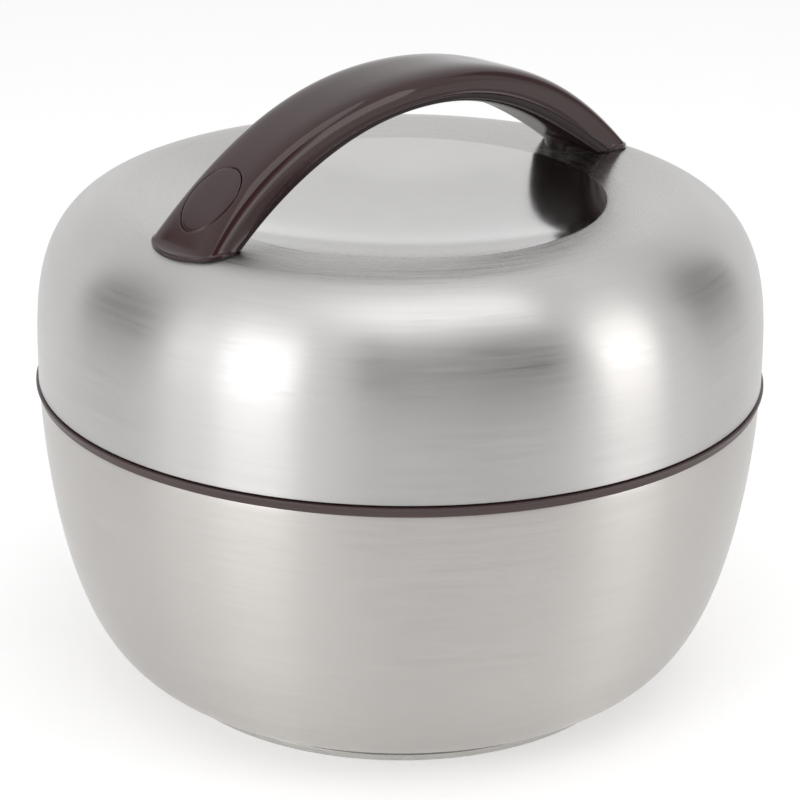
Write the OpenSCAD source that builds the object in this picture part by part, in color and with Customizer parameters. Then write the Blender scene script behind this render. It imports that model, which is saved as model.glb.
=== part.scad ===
// Insulated lunch box: a round steel body with a foamed wall, a domed steel lid that turns
// onto bayonet lugs, an arched carrying handle with an oval vent button in one foot, and an
// inner bowl with its own lid below a divided tray.
// The origin is the middle of the foot ring, +Z is up and the handle runs along X.
// The lid is drawn closed and at the open end of its turn, where it can be lifted off.

/* [Body] */
// Diameter of the steel body just under the collar
body_d = 178.8; // [177.6:0.2:181]
// Height of the body from the floor to the underside of the collar
body_h = 76.8; // [75:0.2:80]
// How high the lowest point of the body's outline would lie above the floor
body_lift = 0.5; // [0.2:0.1:1]
// Power that sets how early the side starts to draw in
body_side_power = 1.54; // [1.4:0.02:1.7]
// Power that sets how tightly the side turns under
body_turn_power = 7.72; // [6.8:0.04:8.6]
// Thickness of the outer steel sheets
sheet_t = 0.6; // [0.5:0.05:0.7]
// Height of the foot ring, where the body's outline ends
foot_h = 2.8; // [2.2:0.1:4]
// Width of the foot ring
foot_w = 3; // [2:0.25:4]

/* [Collar] */
// How far the brown collar stands out from the body
collar_out = 0.9; // [0.6:0.05:1.4]
// Height of the collar's visible band
collar_h = 2.3; // [1.8:0.1:2.6]
// Height of the bayonet lugs on the neck
lug_h = 3; // [2.4:0.1:3.2]
// Angle that one lug of the neck spans
lug_angle = 50; // [44:1:52]
// Angle that the lid turns to lock
turn_angle = 35; // [30:1:36]

/* [Inner pot] */
// Width of the foamed wall at the mouth, from the body's side to the inside of the liner
wall_w = 14.4; // [14.2:0.1:15]
// Thickness of the steel liners
liner_t = 0.5; // [0.4:0.05:0.6]
// Height of the liner's floor
liner_floor_z = 10; // [8.5:0.25:11]
// Radius of the round between the liner's wall and floor
liner_round = 26; // [24:0.5:30]

/* [Lid] */
// How far the lid's lower edge stands out from the body
lid_out = 0.25; // [0.05:0.05:0.5]
// Height of the lid from its lower edge to its crest
lid_h = 45.3; // [44:0.1:48]
// Width of the lid's shoulder, from its lower edge in to the crest
shoulder_w = 23.65; // [22.45:0.1:26.65]
// Power that sets how early the top starts to fall outwards
lid_top_power = 2.127; // [2:0.01:2.4]
// Power that sets how squarely the lid's side stands
lid_side_power = 3.679; // [3.4:0.01:3.9]
// Width of the lid's flat top, from the crest in to the edge of the dish
crest_w = 15.9; // [14.2:0.1:19.8]
// Fall of the top from the crest to the edge of the dish
dish_fall = 0.95; // [0.6:0.05:1.4]
// Depth of the dish below its edge
dish_depth = 7.5; // [5:0.25:9]

/* [Handle] */
// Room for the hand between the lid's crest and the handle, at the middle
hand_h = 24.8; // [23.6:0.1:28]
// How far inside the crest the handle's lower edge meets the height of the lid
arch_inset = 2.6; // [1.8:0.1:3.2]
// Power of the arch: 2 is a parabola, and more stands the legs up
arch_power = 2.08; // [2:0.02:2.2]
// Width of the handle at the middle
handle_w = 23; // [22:0.2:25]
// How much narrower the handle is where it meets the lid
foot_narrow = 1.2; // [0.6:0.1:1.6]
// How much each leg draws in halfway down
leg_waist = 2.4; // [1.6:0.1:2.6]
// Height of the handle's rounded back at the middle
crown_h = 6.7; // [6.2:0.1:8]
// Height of the handle's rounded back at the feet
crown_foot_h = 5.6; // [5.4:0.1:6.2]
// How much the back rises halfway down each leg
crown_swell = 1.2; // [1:0.1:1.6]
// Power that sets how square the back is
crown_power = 4.2; // [3.4:0.1:4.6]
// Height above the lower edge at which the handle is widest
knee_h = 1.8; // [1.4:0.1:2.2]
// How far the sides draw in below the widest line, at the middle
tuck_in = 1.5; // [1:0.1:1.8]
// How far the sides flare out at the feet
foot_flare = 0.5; // [0:0.1:0.6]
// Depth of the underside cover at the middle
keel_h = 2.2; // [1.6:0.1:2.6]
// Depth of the underside cover at the feet
keel_foot_h = 2.4; // [2:0.1:2.8]
// How much the cover deepens halfway down each leg
keel_swell = 1.1; // [0.7:0.1:1.4]

/* [Foot rim] */
// How far the rim at the tip of each foot reaches past the lid's crest
tip_out = 7.6; // [7:0.1:8.2]
// Half of the rim's width
rim_half_w = 12; // [11.7:0.1:13]
// Radius of the tip's broad round in plan
foot_end_r = 18; // [16:0.5:24]
// Radius of the rim's corners in plan
foot_corner_r = 6; // [4:0.25:7]
// Height of the rim
rim_h = 0.7; // [0.5:0.05:0.9]
// How far inside the crest the heel of each foot stands
heel_in = 12; // [10.8:0.1:12.6]

/* [Handle's wall] */
// Thickness of the handle's wall
handle_wall = 2; // [1.6:0.1:2.2]

/* [Vent] */
// Distance from the tip of the foot in to the middle of the vent button
vent_inset = 13.1; // [12.7:0.1:13.5]
// Length of the button in plan, along the handle
button_l = 14.2; // [13.4:0.1:14.6]
// Width of the button
button_w = 13.4; // [12.4:0.1:13.6]
// Travel of the button
button_travel = 2; // [1.6:0.1:2.1]

/* [Bowl and tray] */
// Room between the inner bowl and the liner round it
bowl_side_gap = 1.5; // [1.4:0.1:2.4]
// Room between the bowl lid's grip and the tray over it
stack_gap = 2.2; // [1.5:0.1:5.5]
// Height of the tray from its floor to its flange
tray_h = 21.5; // [18:0.1:22]
// Thickness of the bowl's and the tray's sheet
ware_t = 0.6; // [0.5:0.05:0.8]

/* [Hidden] */
$fn = 96;

// Gap between pieces that lie against each other
gap = 0.3;
// How far a cut runs past what it cuts
over = 1;

// Radii that follow the body's diameter
curve_r = body_d / 2;
band_r = curve_r + collar_out;
mouth_r = curve_r - wall_w;
lid_r = curve_r + lid_out;
crest_r = lid_r - shoulder_w;
dish_r = crest_r - crest_w;
foot_tip = crest_r + tip_out;
vent_u = foot_tip - vent_inset;

// Outline of the body, as a curve from the collar down to the foot ring
quarter = 90;
outline_steps = 28;
curve_h = body_h - body_lift;
foot_depth_share = (body_h - foot_h) / curve_h;
foot_r = curve_r * pow(1 - pow(foot_depth_share, body_side_power), 1 / body_turn_power);

// Foot ring
plate_t = sheet_t;
foot_round = 0.7;
groove_w = 0.5;
groove_h = 0.4;
groove_height_share = 0.6;
groove_z = foot_h * groove_height_share;

// Collar and neck
rim_gap = 0.4;
collar_top_z = body_h + collar_h;
rim_z = collar_top_z + rim_gap;
collar_round = 0.7;
skirt_w = 2.7;
skirt_h = 6.6;
neck_h = 10.9;
neck_t = 3.7;
neck_root = 7.2;
foam_top_z = body_h - neck_root - gap;
neck_in_r = mouth_r + liner_t + gap;
neck_r = neck_in_r + neck_t;
neck_top_z = collar_top_z + neck_h;
lug_w = 4.1;
lug_r = neck_r + lug_w;
lug_top_gap = 0.5;
lug_top_z = neck_top_z - lug_top_gap;
lug_count = 3;
stop_angle = 3;
stop_margin = 1;

// Liner of the body
liner_top_z = neck_top_z + liner_t;
liner_rim_r = neck_r - gap;

// Ring inside the lid that carries its lugs
lug_side_gap = 0.6;
lug_lift_gap = 0.4;
ring_in_r = lug_r + lug_side_gap;
ring_side_gap = 0.65;
ring_out_r = lid_r - sheet_t - ring_side_gap;
ring_floor_gap = 0.5;
ring_bottom_z = collar_top_z + ring_floor_gap;
lid_lug_top_z = lug_top_z - lug_h - lug_lift_gap;
lid_lug_in_r = neck_r + lug_side_gap;
lid_lug_margin = 3;
lid_lug_angle = lug_angle - 2 * lid_lug_margin;
lid_lug_start = 180 / lug_count;

// Seal, liner and ring flange inside the lid
seal_h = 2.8;
seal_in_gap = 2.2;
seal_out_gap = 0.7;
seal_z = liner_top_z + gap;
seal_in_r = mouth_r + seal_in_gap;
seal_out_r = neck_r + seal_out_gap;
lid_liner_z = seal_z + seal_h;
lid_wall_r = mouth_r - gap;
flange_t = 2;
flange_z = lid_liner_z + liner_t;
ceiling_rise = 9.8;
ceiling_z = flange_z + ceiling_rise;
ceiling_round = 7;

// Outline of the lid
lid_steps = 24;
top_steps = 6;
dish_steps = 10;
dish_edge_z = rim_z + lid_h - dish_fall;

// Tray and its divider
tray_top_z = liner_top_z + gap;
tray_side_gap = 1.2;
tray_r = mouth_r - tray_side_gap;
tray_round = 10;
tray_z = tray_top_z - tray_h;
tray_flange_w = 1.5;
tray_flange_r = mouth_r + tray_flange_w;
divider_t = 2;
divider_drop = 1.6;

// Inner bowl and its lid
bowl_z = liner_floor_z + gap;
bowl_r = mouth_r - bowl_side_gap;
bowl_round_extra = 1.2;
bowl_round = liner_round + bowl_round_extra;
bead_r = 0.8;
bowl_lid_t = 1.8;
plug_h = 4.6;
plug_gap = 1;
plug_r = bowl_r - ware_t - plug_gap;
plug_wall = 2;
grip_l = 44;
grip_w = 5;
grip_h = 3;
bowl_lid_z = tray_z - stack_gap - grip_h - bowl_lid_t;
bowl_top_z = bowl_lid_z - gap;
bowl_seal_h = 1.6;
bowl_seal_drop = 1.4;
bowl_seal_depth = 1.2;

// Handle
arch_steps = 36;
crown_steps = 20;
knee_steps = 3;
keel_steps = 12;
arch_z = rim_z + lid_h + hand_h;
handle_foot_w = handle_w - foot_narrow;
arch_half = crest_r - arch_inset;
arch_over = 2.6;
arch_end = foot_tip + arch_over;
share_cap = 1.1;
share_peak = 0.25;
least_top = 0.3;
keel_power = 4;
keel_inset = 0.3;
rim_in = 0.8;
tip_wall = 5.4;
cavity_end = foot_tip - rim_in - tip_wall;
gasket_t = 0.5;

// Plan of each foot: bowed heel, flared sides, round corners and a broad round tip
heel_x = crest_r - heel_in;
heel_steps = 10;
heel_depth = 8;
corner_steps = 6;
tip_steps = 10;
corner_back = 108;
corner_turn = asin((rim_half_w - foot_corner_r) / (foot_end_r - foot_corner_r));
rim_room = 5;
seat_top_z = rim_z + lid_h + gasket_t;

// Screws of the handle, two in each foot
screw_inset = 8.1;
screw_edge = 2.9;
screw_u = foot_tip - screw_inset;
screw_v = handle_foot_w / 2 - screw_edge;
screw_r = 1.45;
screw_hole_r = 1.5;
screw_clear_r = 1.8;
screw_head_r = 2.7;
screw_head_h = 1.8;
screw_rise = 2.4;
boss_r = 3;
boss_h = 4.2;
bracket_t = 1.2;
bracket_drop = 1.9;
bracket_inset = 10.6;
bracket_u = foot_tip - bracket_inset;
bracket_l = 17;
bracket_w = handle_foot_w;
bracket_round = 3;
bracket_top_z = rim_z + lid_h - bracket_drop;
pocket_side = 0.5;
pocket_r = norm([bracket_l, bracket_w]) / 2 + pocket_side;
pocket_z = bracket_top_z - bracket_t - screw_head_h - gap;

// Vent
stem_r = 2;
stem_gap = 0.1;
guide_wall = 1.9;
guide_r = stem_r + stem_gap + guide_wall;
guide_flange_r = 5;
guide_flange_t = 0.8;
guide_hole_r = guide_r + gap;
guide_top_z = seat_top_z + guide_flange_t;
button_gap = 0.25;
button_t = 2.4;
button_proud = 0.05;
button_well = 1.2;
button_boss_r = 3.4;
button_low_z = seat_top_z + button_travel + gap;
skirt_z = arch_spot(-vent_u, 0, 0)[2] + button_travel + gap;
skirt_turn = atan2(arch_spot(1 - vent_u, 0, 0)[2] - arch_spot(-1 - vent_u, 0, 0)[2], 2);
flange_room_z = guide_top_z + button_travel + gap;
spring_shut_h = 2.6;
spring_top_z = guide_top_z + button_travel + spring_shut_h;
socket_h = 1.6;
valve_r = 5.4;
valve_t = 2;
vent_hole_gap = 1.2;
vent_hole_r = stem_r + vent_hole_gap;
spring_gap = 0.85;
spring_r = stem_r + spring_gap;
wire_r = 0.28;
spring_turns = 4;
spring_turn_steps = 12;
spring_sides = 6;
spring_end_gap = 0.06;

// Body outline, drawn in by a sheet's thickness, from the collar down to the foot ring
function body_curve(inset) =
    let (r0 = curve_r - inset, end = pow(1 - pow(foot_r / r0, body_turn_power), 1 / body_side_power))
    [for (i = [0:outline_steps])
        let (s = end * sin(quarter * i / outline_steps))
        [r0 * pow(1 - pow(s, body_side_power), 1 / body_turn_power), body_h - (curve_h - inset) * s]];

// Height of the body's outline at its lower end
function body_floor_z(inset) = body_curve(inset)[outline_steps][1];

// Lid outline, drawn in by a sheet's thickness, from the lower edge over the crest to the axis
function lid_side(inset) =
    [for (i = [0:lid_steps])
        let (t = quarter * i / lid_steps)
        [crest_r + (lid_r - crest_r - inset) * pow(cos(t), 2 / lid_top_power),
            rim_z + (lid_h - inset) * pow(sin(t), 2 / lid_side_power)]];
function lid_top(inset) =
    [for (i = [1:top_steps])
        let (s = i / top_steps)
        [crest_r - s * (crest_r - dish_r), rim_z + lid_h - inset - dish_fall * s * s]];
dish_sphere_r = (dish_r * dish_r + dish_depth * dish_depth) / (2 * dish_depth);
function dish_curve(inset) =
    [for (i = [1:dish_steps])
        let (a = asin(dish_r / dish_sphere_r) * (1 - i / dish_steps))
        [dish_sphere_r * sin(a),
            dish_edge_z - inset - dish_depth + dish_sphere_r * (1 - cos(a))]];
function lid_outline(inset) = concat(lid_side(inset), lid_top(inset), dish_curve(inset));

// Cup outline from its top edge down its wall, round its corner and along its floor
function cup_outline(r, top, floor_z, round_r, steps) =
    concat([[r, top]],
        [for (i = [0:steps])
            let (t = quarter * i / steps)
            [r - round_r + round_r * cos(t), floor_z + round_r - round_r * sin(t)]],
        [[0, floor_z]]);
cup_steps = 12;

function reversed(list) = [for (i = [len(list) - 1:-1:0]) list[i]];

// Handle: the lower edge is an arch in the plane of X and Z, and each section stands square to it
function arch_share(u) = min(share_cap, pow(u / crest_r, 2));
function arch_drop(u) = hand_h * pow(abs(u) / arch_half, arch_power);
function arch_slope(u) =
    -sign(u) * arch_power * hand_h / arch_half * pow(abs(u) / arch_half, arch_power - 1);
function arch_spot(u, v, k) =
    let (slope = arch_slope(u), n = sqrt(1 + slope * slope))
    [u - slope / n * k, v, arch_z - arch_drop(u) + k / n];

// Size that runs from the middle to the feet, with an extra halfway down the legs
function bend(u, middle, foot, extra) =
    let (t = arch_share(u)) middle + (foot - middle) * t + extra * t * (1 - t) / share_peak;
function half_width(u) = bend(u, handle_w, handle_foot_w, -leg_waist) / 2;
function crown_at(u) = bend(u, crown_h, crown_foot_h, crown_swell);
function keel_at(u) = bend(u, keel_h, keel_foot_h, keel_swell);
function tuck_at(u) = tuck_in - (tuck_in + foot_flare) * arch_share(u);
function signed_power(x, p) = sign(x) * pow(abs(x), p);

// Curve of one side below its widest line: side is 1 or -1, and turns lists its steps in order
function knee(u, inset, side, turns) =
    [for (a = turns)
        [side * (half_width(u) - inset - tuck_at(u) * (1 - cos(a))), knee_h * (1 - sin(a))]];

// One section of the back, drawn in by inset, closed along its flat lower side
function crown_section(u, inset, low, steps) =
    let (w = half_width(u) - inset, edge = w - tuck_at(u),
        top = max(least_top, crown_at(u) - inset - knee_h),
        turns = [for (i = [0:knee_steps - 1]) quarter * (1 - i / knee_steps)])
    concat([[-edge, low]], knee(u, inset, -1, turns),
        [for (i = [0:steps])
            let (t = 2 * quarter * i / steps)
            [-w * signed_power(cos(t), 2 / crown_power), knee_h + top * pow(sin(t), 2 / crown_power)]],
        knee(u, inset, 1, reversed(turns)), [[edge, low]]);

// One section of the underside cover, deepened by extra and closed along its flat upper side
function keel_section(u, extra) =
    [for (i = [0:keel_steps])
        let (t = 2 * quarter * i / keel_steps)
        [(half_width(u) - tuck_at(u) - keel_inset) * signed_power(cos(t), 2 / keel_power),
            -(keel_at(u) + extra) * pow(sin(t), 2 / keel_power)]];

// One section of the hollow inside the back, with upright sides
function hollow_section(u, inset, low, steps) =
    let (w = half_width(u) - tuck_in - inset, top = crown_at(u) - inset)
    concat([[-w, low]],
        [for (i = [0:steps])
            let (t = 2 * quarter * i / steps)
            [-w * signed_power(cos(t), 2 / crown_power), top * pow(sin(t), 2 / crown_power)]],
        [[w, low]]);

// Half of a foot's plan, from the middle of the heel round to the tip
side_y = half_width(arch_half) - tuck_at(arch_half);
corner_x = foot_tip - foot_end_r + (foot_end_r - foot_corner_r) * cos(corner_turn);
foot_half = concat(
    [for (i = [0:heel_steps])
        let (s = i / heel_steps)
        [heel_x + (arch_half - heel_x) * s * s, side_y * s]],
    [for (i = [0:corner_steps])
        let (a = corner_back + (corner_turn - corner_back) * i / corner_steps)
        [corner_x + foot_corner_r * cos(a), rim_half_w - foot_corner_r + foot_corner_r * sin(a)]],
    [for (i = [1:tip_steps])
        let (a = corner_turn * (1 - i / tip_steps))
        [foot_tip - foot_end_r + foot_end_r * cos(a), foot_end_r * sin(a)]]);
foot_other = [for (i = [len(foot_half) - 2:-1:1]) [foot_half[i][0], -foot_half[i][1]]];

// Solid swept through sections that all have the same count of points
module sweep(sections) {
    rings = len(sections);
    sides = len(sections[0]);
    points = [for (s = sections) each s];
    skin = [for (j = [0:rings - 2]) for (i = [0:sides - 1])
        let (a = j * sides + i, b = j * sides + (i + 1) % sides)
        each [[a, b, b + sides], [a, b + sides, a + sides]]];
    first = [for (i = [sides - 1:-1:0]) i];
    last = [for (i = [0:sides - 1]) (rings - 1) * sides + i];
    polyhedron(points, concat(skin, [first, last]), convexity = 6);
}

function stations(end, count) = [for (j = [0:count]) -end + 2 * end * j / count];

module crown(inset, low, end, steps) {
    sweep([for (u = stations(end, arch_steps))
        [for (p = crown_section(u, inset, low, steps)) arch_spot(u, p[0], p[1])]]);
}

module hollow(inset, low, end, steps) {
    sweep([for (u = stations(end, arch_steps))
        [for (p = hollow_section(u, inset, low, steps)) arch_spot(u, p[0], p[1])]]);
}

module keel(extra) {
    sweep([for (u = stations(arch_end, arch_steps))
        [for (p = keel_section(u, extra)) arch_spot(u, p[0], p[1])]]);
}

// Upright columns over the plan of both feet
module foot_columns() {
    at_feet()
        translate([0, 0, rim_z])
            linear_extrude(lid_h + hand_h)
                polygon(concat(foot_half, foot_other));
}

// Everything below the lid's outer surface, raised by lift
module lid_space(lift) {
    rotate_extrude()
        polygon(concat([[0, rim_z - over]], [[lid_r + lift, rim_z - over]],
            [for (p = concat(lid_side(-lift), lid_top(-lift))) p],
            [[0, dish_edge_z + lift]]));
}

// Sector of a ring between two radii
module sector(r_in, r_out, z, h, from, to) {
    translate([0, 0, z])
        rotate([0, 0, from])
            rotate_extrude(angle = to - from)
                translate([r_in, 0])
                    square([r_out - r_in, h]);
}

module tube(r_in, r_out, z, h) {
    translate([0, 0, z])
        difference() {
            cylinder(r = r_out, h = h);
            translate([0, 0, -over]) cylinder(r = r_in, h = h + 2 * over);
        }
}

// Both feet of the handle
module at_feet() {
    for (side = [-1, 1])
        scale([side, 1, 1]) children();
}

// The four screw places
module at_screws() {
    for (x = [-screw_u, screw_u], y = [-screw_v, screw_v])
        translate([x, y, 0]) children();
}

// Upright oval prism of the vent button, widened by extra
module oval(extra, z, h) {
    translate([-vent_u, 0, z])
        linear_extrude(h)
            scale([(button_l / 2 + extra) / (button_w / 2 + extra), 1])
                circle(r = button_w / 2 + extra, $fn = 64);
}

module body_shell() {
    color([0.72, 0.71, 0.69])
        rotate_extrude()
            polygon(concat(body_curve(0), [[0, body_floor_z(0)], [0, body_floor_z(sheet_t)]],
                reversed(body_curve(sheet_t))));
}

module base_plate() {
    color([0.70, 0.69, 0.67])
        rotate_extrude()
            polygon([[0, foot_h], [foot_r, foot_h], [foot_r, groove_z + groove_h],
                [foot_r - groove_w, groove_z + groove_h / 2], [foot_r, groove_z],
                [foot_r, foot_round], [foot_r - foot_round, 0],
                [foot_r - foot_w + foot_round, 0], [foot_r - foot_w, foot_round],
                [foot_r - foot_w, foot_h - plate_t], [0, foot_h - plate_t]]);
}

// Space between the steel shell and the liner, up to the collar's skirt
module body_insulation() {
    color([0.93, 0.89, 0.72])
        intersection() {
            difference() {
                rotate_extrude()
                    polygon(concat([[0, body_h]], body_curve(sheet_t + gap),
                        [[0, body_floor_z(sheet_t + gap)]]));
                rotate_extrude()
                    polygon(concat([[0, body_h + over]],
                        cup_outline(mouth_r + liner_t + gap, body_h + over,
                            liner_floor_z - liner_t - gap, liner_round + liner_t, cup_steps)));
            }
            cylinder(r = body_d, h = foam_top_z);
        }
}

module body_liner() {
    inner = cup_outline(mouth_r, liner_top_z, liner_floor_z, liner_round, cup_steps);
    outer = cup_outline(mouth_r + liner_t, neck_top_z, liner_floor_z - liner_t,
        liner_round + liner_t, cup_steps);
    color([0.82, 0.82, 0.80])
        rotate_extrude()
            polygon(concat(inner, reversed(outer), [[liner_rim_r, neck_top_z],
                [liner_rim_r, liner_top_z]]));
}

module collar() {
    skirt_r = body_curve(sheet_t)[0][0] - gap;
    skirt_low_r = body_curve(sheet_t + gap)[6][0] - gap;
    color([0.27, 0.19, 0.18]) {
        rotate_extrude()
            polygon([[neck_in_r, body_h - neck_root], [neck_r, body_h - neck_root], [neck_r, body_h],
                [skirt_low_r - skirt_w, body_h], [skirt_low_r - skirt_w, body_h - skirt_h],
                [skirt_low_r, body_h - skirt_h], [skirt_low_r, body_h],
                [band_r - collar_round, body_h], [band_r, body_h + collar_round],
                [band_r, collar_top_z - collar_round], [band_r - collar_round, collar_top_z],
                [neck_r, collar_top_z], [neck_r, neck_top_z], [neck_in_r, neck_top_z]]);
        for (i = [0:lug_count - 1]) {
            middle = 360 * i / lug_count;
            sector(neck_r - gap, lug_r, lug_top_z - lug_h, lug_h,
                middle - lug_angle / 2, middle + lug_angle / 2);
            stop = middle + lid_lug_start + lid_lug_angle / 2 + turn_angle + stop_margin;
            sector(neck_r - gap, lug_r, lid_lug_top_z - lug_h, lug_h + lug_lift_gap + gap,
                stop, stop + stop_angle);
        }
    }
}

module inner_bowl() {
    outer = cup_outline(bowl_r, bowl_top_z, bowl_z, bowl_round, cup_steps);
    inner = cup_outline(bowl_r - ware_t, bowl_top_z, bowl_z + ware_t, bowl_round - ware_t, cup_steps);
    color([0.80, 0.80, 0.79])
        union() {
            rotate_extrude() polygon(concat(outer, reversed(inner)));
            translate([0, 0, bowl_top_z - bead_r])
                rotate_extrude()
                    translate([bowl_r - ware_t + bead_r, 0]) circle(r = bead_r, $fn = 24);
        }
}

module bowl_lid() {
    seal_z0 = bowl_lid_z - bowl_seal_drop - bowl_seal_h;
    color([0.90, 0.89, 0.86])
        difference() {
            union() {
                rotate_extrude()
                    polygon([[0, bowl_lid_z], [plug_r - plug_wall, bowl_lid_z],
                        [plug_r - plug_wall, bowl_lid_z - plug_h], [plug_r, bowl_lid_z - plug_h],
                        [plug_r, bowl_lid_z], [bowl_r, bowl_lid_z],
                        [bowl_r, bowl_lid_z + bowl_lid_t / 2],
                        [bowl_r - bowl_lid_t / 2, bowl_lid_z + bowl_lid_t], [0, bowl_lid_z + bowl_lid_t]]);
                translate([0, 0, bowl_lid_z + bowl_lid_t - over])
                    linear_extrude(grip_h + over)
                        offset(r = grip_w / 2 - gap)
                            square([grip_l - grip_w, 2 * gap], center = true);
            }
            tube(plug_r - bowl_seal_depth, plug_r + over, seal_z0, bowl_seal_h);
        }
}

module bowl_lid_seal() {
    seal_z0 = bowl_lid_z - bowl_seal_drop - bowl_seal_h;
    color([0.86, 0.86, 0.84])
        rotate_extrude()
            translate([plug_r - bowl_seal_depth, seal_z0])
                polygon([[0, 0], [bowl_seal_depth, 0], [bowl_seal_depth + plug_gap - gap, bowl_seal_h / 2],
                    [bowl_seal_depth, bowl_seal_h], [0, bowl_seal_h]]);
}

module food_tray() {
    outer = cup_outline(tray_r, tray_top_z, tray_z, tray_round, cup_steps);
    inner = cup_outline(tray_r - ware_t, tray_top_z + ware_t, tray_z + ware_t, tray_round - ware_t,
        cup_steps);
    color([0.80, 0.80, 0.79])
        rotate_extrude()
            polygon(concat([[tray_flange_r, tray_top_z + ware_t], [tray_flange_r, tray_top_z]], outer,
                reversed(inner)));
}

// Wall that follows the inside of the tray
module tray_divider() {
    color([0.90, 0.89, 0.86])
        intersection() {
            rotate_extrude()
                polygon(concat([[0, tray_top_z - divider_drop]],
                    cup_outline(tray_r - ware_t - gap, tray_top_z - divider_drop,
                        tray_z + ware_t + gap, tray_round - ware_t, cup_steps)));
            translate([-mouth_r, -divider_t / 2, tray_z])
                cube([2 * mouth_r, divider_t, tray_h]);
        }
}

module lid_shell() {
    color([0.71, 0.70, 0.68])
        difference() {
            rotate_extrude()
                polygon(concat(lid_outline(0), reversed(lid_outline(sheet_t))));
            translate([0, 0, dish_edge_z - dish_depth]) {
                at_screws() cylinder(r = screw_clear_r, h = lid_h);
                translate([-vent_u, 0, 0]) cylinder(r = guide_hole_r, h = lid_h);
            }
        }
}

// Foam between the lid's shell and its liner, with pockets for the handle's fasteners
module lid_insulation() {
    inset = sheet_t + gap;
    low_z = flange_z + flange_t + gap;
    foam_wall_r = lid_wall_r + liner_t + gap;
    foam_ceiling_z = ceiling_z + liner_t + gap;
    color([0.93, 0.89, 0.72])
        difference() {
            intersection() {
                rotate_extrude()
                    polygon(concat([[0, rim_z], [lid_r - inset, rim_z]], lid_outline(inset)));
                translate([0, 0, low_z]) cylinder(r = 2 * lid_r, h = lid_h);
            }
            translate([0, 0, low_z - over]) cylinder(r = foam_wall_r, h = foam_ceiling_z - low_z + over);
            at_feet()
                translate([-bracket_u, 0, pocket_z]) cylinder(r = pocket_r, h = lid_h);
            translate([-vent_u, 0, rim_z]) cylinder(r = guide_hole_r, h = 2 * lid_h);
        }
}

module lid_liner() {
    // drawn as an upturned cup with a flange round its mouth
    inner = [for (p = cup_outline(lid_wall_r, 0, 0, ceiling_round, cup_steps)) [p[0], -p[1] + ceiling_z]];
    outer = [for (p = cup_outline(lid_wall_r + liner_t, 0, 0, ceiling_round + liner_t, cup_steps))
        [p[0], -p[1] + ceiling_z + liner_t]];
    wall_in = [for (i = [1:len(inner) - 1]) inner[i]];
    wall_out = [for (i = [1:len(outer) - 1]) outer[i]];
    color([0.82, 0.82, 0.80])
        difference() {
            rotate_extrude()
                polygon(concat([[lid_wall_r, lid_liner_z]], wall_in, reversed(wall_out),
                    [[lid_wall_r + liner_t, flange_z], [seal_out_r + flange_t, flange_z],
                    [seal_out_r + flange_t, lid_liner_z]]));
            translate([-vent_u, 0, ceiling_z - over]) cylinder(r = vent_hole_r, h = liner_t + 2 * over);
        }
}

module lid_ring() {
    color([0.27, 0.19, 0.18]) {
        rotate_extrude()
            polygon([[ring_in_r, ring_bottom_z], [ring_out_r, ring_bottom_z],
                [ring_out_r, flange_z + flange_t], [lid_wall_r + liner_t + gap, flange_z + flange_t],
                [lid_wall_r + liner_t + gap, flange_z], [ring_in_r, flange_z]]);
        for (i = [0:lug_count - 1]) {
            middle = 360 * i / lug_count + lid_lug_start;
            sector(lid_lug_in_r, ring_in_r + gap, lid_lug_top_z - lug_h, lug_h,
                middle - lid_lug_angle / 2, middle + lid_lug_angle / 2);
        }
    }
}

module lid_seal() {
    color([0.88, 0.88, 0.86])
        rotate_extrude()
            translate([seal_in_r, seal_z])
                polygon([[0, seal_h], [0, seal_h / 4], [seal_h / 4, 0],
                    [seal_out_r - seal_in_r - seal_h / 4, 0], [seal_out_r - seal_in_r, seal_h / 4],
                    [seal_out_r - seal_in_r, seal_h]]);
}

// Arched outer cover of the handle, hollow, with rims, bosses for its screws and a well for the button
module handle_shell() {
    color([0.31, 0.24, 0.24])
        difference() {
            intersection() {
                union() {
                    crown(0, 0, arch_end, crown_steps);
                    intersection() {
                        crown(-rim_room, 0, arch_end, crown_steps / 2);
                        foot_columns();
                        lid_space(gasket_t + rim_h);
                    }
                }
                union() {
                    difference() {
                        translate([-lid_r, -handle_w, rim_z]) cube([2 * lid_r, 2 * handle_w, 2 * arch_z]);
                        hollow(handle_wall, -2 * over, cavity_end, crown_steps / 2);
                    }
                    at_screws()
                        translate([0, 0, rim_z + lid_h]) cylinder(r = boss_r, h = boss_h + gasket_t);
                    oval(button_gap + button_well, guide_top_z + gap, handle_w);
                }
            }
            lid_space(gasket_t);
            oval(button_gap, rim_z + lid_h, 2 * handle_w);
            at_screws()
                translate([0, 0, rim_z])
                    cylinder(r = screw_hole_r, h = lid_h + screw_rise + gasket_t + gap);
        }
}

// Smooth underside that closes the hollow cover and turns down onto the lid at the heels
module handle_cover() {
    color([0.24, 0.18, 0.18])
        difference() {
            union() {
                keel(0);
                intersection() {
                    keel(heel_depth);
                    foot_columns();
                }
            }
            lid_space(gasket_t);
            translate([-vent_u, 0, rim_z]) cylinder(r = guide_flange_r + gap, h = 2 * lid_h);
        }
}

module foot_gaskets() {
    color([0.12, 0.11, 0.11])
        difference() {
            intersection() {
                foot_columns();
                lid_space(gasket_t);
            }
            lid_space(0);
            at_screws()
                translate([0, 0, rim_z]) cylinder(r = screw_clear_r, h = 2 * lid_h);
            translate([-vent_u, 0, rim_z]) cylinder(r = guide_hole_r, h = 2 * lid_h);
        }
}

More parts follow.
